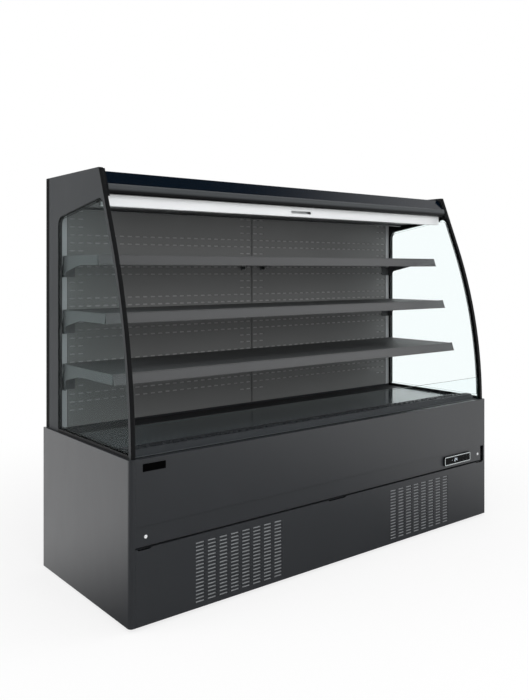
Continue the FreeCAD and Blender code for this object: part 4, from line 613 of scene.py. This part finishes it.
def sheet_faces(rows, columns, wrap_rows=False, wrap_columns=False):
    """Quads of a grid of points, counted row by row; a wrapped direction joins its last line to its first."""
    down = np.arange(rows if wrap_rows else rows - 1)
    along = np.arange(columns if wrap_columns else columns - 1)
    row, column = (part.ravel() for part in np.meshgrid(down, along, indexing="ij"))
    below, right = (row + 1) % rows, (column + 1) % columns
    corners = (row * columns + column, row * columns + right, below * columns + right, below * columns + column)
    return np.stack(corners, axis=1)


def bar(section, ends):
    """A straight bar along x: the section's (setback, z) loop carried from one x to the other, and its end caps.

    The loop runs clockwise seen from the right, so that the faces point outwards.
    """
    section = np.array(section, float)
    count = len(section)
    points = np.concatenate([np.column_stack([np.full(count, x), section]) for x in ends])
    quads = [[a, (a + 1) % count, (a + 1) % count + count, a + count] for a in range(count)]
    return points, quads, [list(range(count))[::-1], list(range(count, 2 * count))]


def bars(name, section, spans, finish, body):
    """The same bar over several spans of x, as one piece.

    Each span is (x low, x high, setback, z), the last two being where the section's origin goes.
    """
    points, faces = [], []
    for low, high, setback, z in spans:
        grid, quads, caps = bar(section, (low, high))
        grid = grid + (0, setback, z)
        start = sum(len(part) for part in points)
        points.append(grid)
        faces += [[start + index for index in face] for face in quads + caps]
    mesh_faces = np.empty(len(faces), object)
    mesh_faces[:] = faces
    return make_piece(name, np.concatenate(points), mesh_faces, finish, body)


BOX_CORNERS = 8
BOX_QUADS = np.array([(0, 1, 3, 2), (4, 6, 7, 5), (0, 4, 5, 1), (2, 3, 7, 6), (0, 2, 6, 4), (1, 5, 7, 3)])


def box_faces(points):
    """The faces of boxes whose corners follow each other: every box's first index plus every index of a box."""
    steps = np.arange(len(points) // BOX_CORNERS) * BOX_CORNERS
    return (steps[:, None, None] + BOX_QUADS[None, :, :]).reshape(-1, 4)


def slab(wide, front, rear, thick):
    """A leaning plate: its lower edge at front and its upper edge at rear, each a (setback, z) pair.

    It is thick from front to back. Corners are counted by x, then lower or upper, then front or back face.
    """
    corners = []
    for x in (-wide / 2, wide / 2):
        for setback, z in (front, rear):
            corners += [(x, setback, z), (x, setback + thick, z)]
    return corners


TONGUE_GAUGE = 0.8


def tongues(name, middles, size, finish, body):
    """A pressed tongue behind each slot: a plate from the slot's lower edge, leaning back towards its upper edge.

    Every slot's middle plus every corner of one tongue, as one array.
    """
    front, half = size["front"], size["tall"] / 2
    template = np.array(slab(size["wide"], (front, -half), (front + size["lean"], half), TONGUE_GAUGE))
    points = (middles[:, None, :] + template[None, :, :]).reshape(-1, 3)
    return make_piece(name, points, box_faces(points), finish, body)


# ---------------------------------------------------------------- louvres and wall slots
LOUVRE = {
    "wide": 33.2,
    "tall": 4.6,
    "front": 1.7,
    "lean": 3.0,
    "across": 48.8,
    "up": 12.33,
    "first": 33.0,
    "columns": 8,
    "rows": 17,
}
LOUVRE_MIDDLES = (-500.0, 466.0)
SLOT = {
    "wide": 20.4,
    "tall": 5.0,
    "front": 582.6,
    "lean": 2.0,
    "first": 19.6,
    "across": 35.2,
    "top": 1374.0,
    "up": 30.35,
    "columns": 25,
    "rows": 26,
}


def louvre_middles():
    """Middles of all the louvre slots: columns either side of each group's middle, rows up from the first."""
    columns = (np.arange(LOUVRE["columns"]) - (LOUVRE["columns"] - 1) / 2) * LOUVRE["across"]
    x = np.concatenate([columns + middle for middle in LOUVRE_MIDDLES])
    z = LOUVRE["first"] + np.arange(LOUVRE["rows"]) * LOUVRE["up"]
    across, up = np.meshgrid(x, z, indexing="ij")
    return np.stack([across.ravel(), np.zeros(across.size), up.ravel()], axis=1)


def slot_middles():
    """Middles of the wall slots: full columns at the edges of each wall, paired rows between them."""
    column, row = np.meshgrid(np.arange(SLOT["columns"]), np.arange(SLOT["rows"]), indexing="ij")
    edge = (column < 2) | (column >= SLOT["columns"] - 2)
    paired = ((row % 4 == 0) | (row % 4 == 3)) & (row > 0)
    keep = edge | paired
    x = SLOT["first"] + column[keep] * SLOT["across"]
    z = SLOT["top"] - row[keep] * SLOT["up"]
    both = np.concatenate([x, -x])
    return np.stack([both, np.zeros(both.size), np.concatenate([z, z])], axis=1)


def hooked(middles):
    """Which wall slots hold a shelf's hook or peg, and so stay free of a tongue."""
    column = (np.abs(middles[:, 0]) - SLOT["first"]) / SLOT["across"]
    row = (SLOT["top"] - middles[:, 2]) / SLOT["up"]
    hook_row = np.isin(np.rint(row), list(HOOK_ROWS.values()))
    peg_row = np.isin(np.rint(row) - 1, list(HOOK_ROWS.values()))
    end_column = np.isclose(column, SLOT["columns"] - 1)
    return np.isclose(column, 1) & hook_row | end_column & (hook_row | peg_row)


def slots_and_louvres():
    """The tongues of the louvred panel, and those of the wall slots that no shelf uses."""
    middles = slot_middles()
    free = middles[~hooked(middles)]
    tongues("louvre_tongues", louvre_middles(), LOUVRE, LOUVRE_PAINTED_HIGHLIGHT, "louvred_panel")
    tongues("wall_slot_tongues", free, SLOT, SLOT_PAINTED_HIGHLIGHT, CABINET)


# ---------------------------------------------------------------- fasteners, trims and marks
SCREW_HEIGHT = 294.5
SCREW_ACROSS = 878
SCREW = {"radius": 6.0, "tall": 2.2, "seat": 3.6, "recess": 1.3, "arm_half": 0.75, "arm_reach": 3.6}


def screw_heads():
    """Pan heads with a cross recess: a dome of revolution, sunk where either arm of the cross crosses it.

    From the middle out, the reach follows a sine and the height a cosine to the power 0.55, over a quarter turn.
    """
    rings, spokes = 14, 48
    share = np.linspace(0, 1, rings)[:, None]
    angle = np.linspace(0, 2 * np.pi, spokes, endpoint=False)[None, :]
    reach = SCREW["radius"] * np.sin(share * np.pi / 2)
    across, up = reach * np.cos(angle), reach * np.sin(angle)
    height = SCREW["tall"] * np.cos(share * np.pi / 2) ** 0.55 + 0 * angle
    arm = (np.minimum(np.abs(across), np.abs(up)) < SCREW["arm_half"]) & (reach < SCREW["arm_reach"])
    height = np.where(arm, height - SCREW["recess"], height)
    pieces, faces = [], []
    for side in (-1, 1):
        dome = [across + SCREW_ACROSS * side, SCREW["seat"] - height, up + SCREW_HEIGHT]
        pieces.append(np.stack(dome, axis=-1).reshape(-1, 3))
        faces.append(sheet_faces(rings, spokes, wrap_columns=True) + (side + 1) // 2 * rings * spokes)
    heads = make_piece(
        "strip_screw_heads",
        np.concatenate(pieces),
        np.concatenate(faces),
        SCREW_STEEL,
        CABINET,
        smooth=True,
    )
    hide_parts("strip_screws")


HOOK_ROWS = {1: 7, 2: 14, 3: 21}
RAILS = {1: (280.0, 1203.7), 2: (225.0, 1001.2), 3: (171.0, 798.4)}
RAIL_LEAN = 13.5 / 37.6
RAIL_HEIGHT = 37.6
RAIL_REACH = 907.0
BEAD_RADIUS = 1.6
BEAD_INSET = 2.0
BEAD_SUNK = 0.2


def bead(radius, steps=10):
    """A half round as a (setback, z) loop, bulging towards the front."""
    angle = np.linspace(-np.pi / 2, np.pi / 2, steps)
    return np.column_stack([-radius * np.cos(angle), -radius * np.sin(angle)])[::-1]


def rail_beads():
    """Rolled beads along the upper and lower edge of each ticket rail."""
    for number, (setback, top) in RAILS.items():
        spans = []
        for drop in (BEAD_INSET, RAIL_HEIGHT - BEAD_INSET):
            spans.append((-RAIL_REACH, RAIL_REACH, setback - drop * RAIL_LEAN + BEAD_SUNK, top - drop))
        bars(f"shelf_{number}_rail_beads", bead(BEAD_RADIUS), spans, TICKET_GREY, f"shelf_{number}")


def mirrored_strips(inner, outer, setback, z, deep, tall):
    """An upright strip on each side of the middle: its section, and the spans and origins that bars takes."""
    loop = [(0, 0), (0, tall), (deep, tall), (deep, 0)]
    return loop, [(-outer, -inner, setback, z), (inner, outer, setback, z)]


def rear_edge_strips():
    """Black edging along the outer rear edge of each side, a thin flat strip."""
    loop, spans = mirrored_strips(inner=925.9, outer=926.7, setback=653.5, z=546.5, deep=25.5, tall=951.5)
    bars("rear_edge_strips", loop, spans, SEAM_BLACK, CABINET)


def corner_joint_painted_shade():
    """The open joint beside each corner profile: a narrow dark strip just behind the profile's face, painted shade
    standing for the shadow in the joint.
    """
    loop, spans = mirrored_strips(inner=884.8, outer=886.4, setback=579.38, z=556, deep=0.1, tall=822)
    bars("corner_joint_painted_shade", loop, spans, SEAM_BLACK, CABINET)


LEG = {
    "middle": 54.8,
    "half_gauge": 1.5,
    "front": 552.0,
    "rear": 576.0,
    "foot": 12.2,
    "tall": 17.5,
    "rim": 3.0,
    "proud": 1.0,
}


def leg_rims():
    """Bright folded rims on the left face of each middle bracket's leg: along its foot, its front and its head. Their
    pale zinc is partly a painted highlight on the leg's edges.

    Each rim is a stroke drawn in the (setback, z) plane, turned a quarter about z so that it stands out to the left.
    """
    front, rear = LEG["front"], LEG["rear"]
    for number, row in HOOK_ROWS.items():
        foot = SLOT["top"] - SLOT["up"] * row - LEG["foot"]
        head = foot + LEG["tall"]
        runs = [((rear, foot), (front, foot)), ((front, foot), (front, head)), ((front, head), (rear, head))]
        grid = np.concatenate([np.array(stroke(start, end, LEG["rim"], LEG["proud"])) for start, end in runs])
        rims = []
        for middle in (-LEG["middle"], LEG["middle"]):
            rims.append(np.column_stack([middle - LEG["half_gauge"] - grid[:, 1], grid[:, 0], grid[:, 2]]))
        points = np.concatenate(rims)
        body = f"shelf_{number}"
        make_piece(f"{body}_leg_rims", points, box_faces(points), ZINC_RIMS_AND_HIGHLIGHT, body)


SEGMENTS = {
    "top": ((-2.4, 6.4), (2.4, 6.4)),
    "middle": ((-2.4, 0.0), (2.4, 0.0)),
    "bottom": ((-2.4, -6.4), (2.4, -6.4)),
    "upper_left": ((-3.4, 0.8), (-3.4, 5.8)),
    "upper_right": ((3.4, 0.8), (3.4, 5.8)),
    "lower_left": ((-3.4, -5.8), (-3.4, -0.8)),
    "lower_right": ((3.4, -5.8), (3.4, -0.8)),
}
DIGITS = {
    2: ("top", "upper_right", "middle", "lower_left", "bottom"),
    4: ("upper_left", "upper_right", "middle", "lower_right"),
}
DIGIT_PLACES = ((2, -19.0), (4, -8.5))
RUNNING_LIGHT = (-41.5, -39.5)
DIGIT_STROKE = 1.7
LENS_FACE = -4.4
PRINT_DEPTH = 0.15


def stroke(start, end, wide, deep):
    """A flat stroke between two (x, z) points as a four-cornered box, wide across and deep from front to back."""
    start, end = np.array(start, float), np.array(end, float)
    along = (end - start) / np.linalg.norm(end - start)
    across = np.array([-along[1], along[0]]) * wide / 2
    corners = []
    for spot in (start, end):
        for side in (-1, 1):
            x, z = spot + across * side
            corners += [(x, 0, z), (x, deep, z)]
    return corners


def strokes(name, runs, wide, face, finish, body):
    """Several strokes on one face as one piece."""
    points = np.concatenate([np.array(stroke(start, end, wide, PRINT_DEPTH)) for start, end in runs])
    points[:, 1] += face
    return make_piece(name, points, box_faces(points), finish, body)


def display():
    """Two seven-segment digits and a small running light."""
    middle_x, middle_z = BEZEL_MIDDLE
    runs = []
    for digit, left in DIGIT_PLACES:
        for segment in DIGITS[digit]:
            runs.append([(middle_x + left + x, middle_z + z) for x, z in SEGMENTS[segment]])
    runs.append([(middle_x + x, middle_z) for x in RUNNING_LIGHT])
    strokes("display_digits", runs, DIGIT_STROKE, LENS_FACE - PRINT_DEPTH, DIGIT_LIGHT, CABINET)


KEYS = {"middle": 50, "across": 24, "up": 15, "proud": 0.95, "stroke": 0.7}
KEY_MARKS = {
    "key_up": (-0.5, 0.5, [((-1.8, -1.0), (0.0, 1.3)), ((0.0, 1.3), (1.8, -1.0))]),
    "key_down": (-0.5, -0.5, [((-1.8, 1.0), (0.0, -1.3)), ((0.0, -1.3), (1.8, 1.0))]),
    "key_set": (0.5, 0.5, [((-1.8, 0.0), (1.8, 0.0)), ((0.0, -1.6), (0.0, 1.6))]),
    "key_light": (0.5, -0.5, [((-1.8, -1.2), (1.8, -1.2)), ((-1.8, 1.2), (1.8, 1.2))]),
}


def key_marks():
    """Plain arrows, a cross and two bars printed on the keys."""
    middle_x, middle_z = BEZEL_MIDDLE
    for name, (across, up, runs) in KEY_MARKS.items():
        x, z = middle_x + KEYS["middle"] + KEYS["across"] * across, middle_z + KEYS["up"] * up
        moved = [[(x + u, z + v) for u, v in run] for run in runs]
        strokes(f"{name}_mark", moved, KEYS["stroke"], LENS_FACE - KEYS["proud"], MARK_PRINT, name)


# ---------------------------------------------------------------- night blind
ROLLER = (276.0, 1430.0)
ROLLER_CORE = 10.0
CORE_END = 898.0
PIN_END = 909.7
PIN_RADIUS = 5.0
WRAP_GAP = 0.3
WOUND_RADIUS = 15.7
TURNS = 9
CLOTH_HALF = 890.0
BAR_TOP = 1411.0
BLEND_AIM = np.array([0.0, -0.9, -0.436])
BLEND_REACH = (16.3, 22.9)


def blind_core():
    """The roller's tube, which shows at the ends of the wound cloth: a closed profile turned about x."""
    right = [(CORE_END, ROLLER_CORE), (CORE_END, PIN_RADIUS), (PIN_END, PIN_RADIUS), (PIN_END, 0.0)]
    left = [(-x, radius) for x, radius in reversed(right)]
    x, radius = np.array(left + right).T
    angle = np.linspace(0, 2 * np.pi, 40, endpoint=False)
    setback = ROLLER[0] + radius[:, None] * np.cos(angle)
    z = ROLLER[1] + radius[:, None] * np.sin(angle)
    points = np.stack([x[:, None] + 0 * angle, setback, z], axis=-1).reshape(-1, 3)
    faces = sheet_faces(len(x), len(angle), wrap_columns=True)
    core = make_piece("blind_roller_core", points, faces, MOTOR_STEEL, "blind_roller", smooth=True)
    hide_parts("blind_roller")


def blind_cloth():
    """The cloth: a spiral that closes in evenly on the roller's core, left at its front, down to the bar.

    The spiral's radius grows in proportion to its angle, from the core outwards. The free stretch hangs straight from
    its outer end.
    """
    turn_steps, drop_steps, columns = 40, 24, 25
    angle = np.linspace(0, 2 * np.pi * TURNS, turn_steps * TURNS)
    radius = ROLLER_CORE + WRAP_GAP + (WOUND_RADIUS - ROLLER_CORE - WRAP_GAP) * (angle / angle[-1])
    # the outer end leaves the roller at its front, where the angle is half a turn
    swept = np.pi - (angle - angle[-1])
    wound = np.column_stack([ROLLER[0] + radius * np.cos(swept), ROLLER[1] + radius * np.sin(swept)])
    drop = np.linspace(ROLLER[1], BAR_TOP, drop_steps + 1)[1:]
    hanging = np.column_stack([np.full(drop_steps, ROLLER[0] - WOUND_RADIUS), drop])
    line = np.concatenate([wound, hanging])
    x = np.linspace(-CLOTH_HALF, CLOTH_HALF, columns)
    grid = np.empty((len(line), columns, 3))
    grid[..., 0] = x
    grid[..., 1] = line[:, :1]
    grid[..., 2] = line[:, 1:]
    faces = sheet_faces(len(line), columns)
    web = make_piece("blind_cloth", grid.reshape(-1, 3), faces, CLOTH, None, smooth=True)
    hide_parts("blind_fabric")
    # start and end lie along BLEND_AIM from the roller, but nothing here uses them: the whole winding lies before the
    # start, and the cloth's lower edge lies at 22.4, half a millimetre short of the end
    centre = np.array([0.0, *ROLLER])
    start, end = (place([centre + BLEND_AIM * reach])[0] for reach in BLEND_REACH)
    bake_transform(web)


# ---------------------------------------------------------------- studio
CAMERA_SPOT = (-2.106656, -2.474231, 1.148262)
CAMERA_TURN = 38.728
FOCAL_PIXELS = 761.237
FRAME_PIXELS = 700
HORIZON_ROW = 270.089


def camera():
    """The camera solved from the photo: level, turned to the right, its frame shifted below the horizon."""
    lens = bpy.data.cameras.new("photo_camera")
    lens.sensor_width = 36
    lens.lens = FOCAL_PIXELS / FRAME_PIXELS * lens.sensor_width
    lens.shift_y = (HORIZON_ROW - FRAME_PIXELS / 2) / FRAME_PIXELS
    lens.clip_end = 200
    item = bpy.data.objects.new("photo_camera", lens)
    item.location = CAMERA_SPOT
    item.rotation_euler = (math.pi / 2, 0, -math.radians(CAMERA_TURN))
    bpy.context.scene.collection.objects.link(item)
    bpy.context.scene.camera = item


LAMPS = (
    ("front_soft_box", (-0.9, -4.5, 2.2), (0, 0, 0.9), 2.8, 98),
    ("left_soft_box", (-4.2, 1.0, 2.2), (-0.9, 0.0, 0.7), 2.4, 56),
    ("right_soft_box", (4.0, -2.0, 2.4), (0, 0, 0.8), 2.4, 35),
    ("top_soft_box", (0.3, -0.9, 4.6), (0.0, 0.0, 1.0), 3.0, 55),
)


def soft_lamp(name, spot, aim, size, power):
    """A square soft box at a spot, facing its aim."""
    lamp = bpy.data.lights.new(name, "AREA")
    lamp.shape = "SQUARE"
    lamp.size = size
    lamp.energy = power
    item = bpy.data.objects.new(name, lamp)
    item.location = spot
    toward = np.array(aim, float) - np.array(spot, float)
    level = math.hypot(toward[0], toward[1])
    item.rotation_euler = (math.atan2(level, -toward[2]), 0, math.atan2(-toward[0], toward[1]))
    bpy.context.scene.collection.objects.link(item)
    item.visible_glossy = False


FLOOR_HALF = 40.0
SHADOW_REACH = 1.8
SHADOW_SHARE = 0.22


def floor():
    """A large pale floor: near white to the camera and through glass, with the fridge's soft shadow near it.

    In reflections it is a graded sweep, pale behind and to the right and dark in front.
    """
    finish = new_finish("studio_floor")
    x, y, _ = finish.axes()
    reach = ((x * x) + (y * y)) ** 0.5
    near = 1 - reach.above(SHADOW_REACH, 0.8)
    lit = finish.node("BsdfDiffuse", inputs={"Color": (0.93, 0.93, 0.93)})
    path = finish.node("LightPath")
    seen = path.output("Is Camera Ray")
    glossy = path.output("Is Glossy Ray")
    clear = path.output("Is Transmission Ray")
    direct = seen + clear - seen * clear
    behind = y.above(0.15, 0.55)
    right = x.above(1.3, 0.95) * 0.8
    sweep = behind + right - behind * right + 0.06
    strength = direct + (1 - direct) * sweep
    white = finish.node("Emission", inputs={"Color": (1, 1, 1), "Strength": strength})
    mask = seen * (1 - near * SHADOW_SHARE) + (1 - seen) * (glossy + clear - glossy * clear)
    finish.end(finish.node("MixShader", inputs={0: mask, 1: lit, 2: white}))
    corners = [(x * FLOOR_HALF, y * FLOOR_HALF, 0) for x, y in ((-1, -1), (1, -1), (1, 1), (-1, 1))]
    mesh = bpy.data.meshes.new("studio_floor")
    mesh.from_pydata(corners, [], [(0, 1, 2, 3)])
    mesh.materials.append(finish.owner)
    plane = bpy.data.objects.new("studio_floor", mesh)
    bpy.context.scene.collection.objects.link(plane)


def surroundings():
    """White to the camera and through glass; in reflections white behind and to the right, and dark in front."""
    world = bpy.data.worlds.new("studio")
    bpy.context.scene.world = world
    sky = Finish(world)
    path = sky.node("LightPath")
    x = sky.node("SeparateXYZ", inputs={0: sky.node("TexCoord", output="Generated")})
    y, z = x.output("Y"), x.output("Z")
    behind = y.above(0.25, 0.3)
    right = x.above(0.7, 0.1) * 0.85
    mirrored = behind + right - behind * right + 0.03
    lit = z.above(0.2, 0.8) * 0.15 + 0.35
    glossy = path.output("Is Glossy Ray")
    seen = path.output("Is Camera Ray")
    clear = path.output("Is Transmission Ray")
    direct = seen + clear - seen * clear
    strength = direct + (1 - direct) * (mirrored * glossy + lit * (1 - glossy))
    shader = sky.node("Background", inputs={"Color": (1, 1, 1), "Strength": strength})
    sky.end(shader, "OutputWorld")


def studio():
    """The camera, the background, the floor and the lamps, with colours shown as they are."""
    camera()
    surroundings()
    floor()
    for name, spot, aim, size, power in LAMPS:
        soft_lamp(name, spot, aim, size, power)
    bpy.context.scene.view_settings.view_transform = "Standard"


dress_nodes()
slots_and_louvres()
screw_heads()
rail_beads()
rear_edge_strips()
corner_joint_painted_shade()
leg_rims()
display()
key_marks()
blind_core()
blind_cloth()
studio()
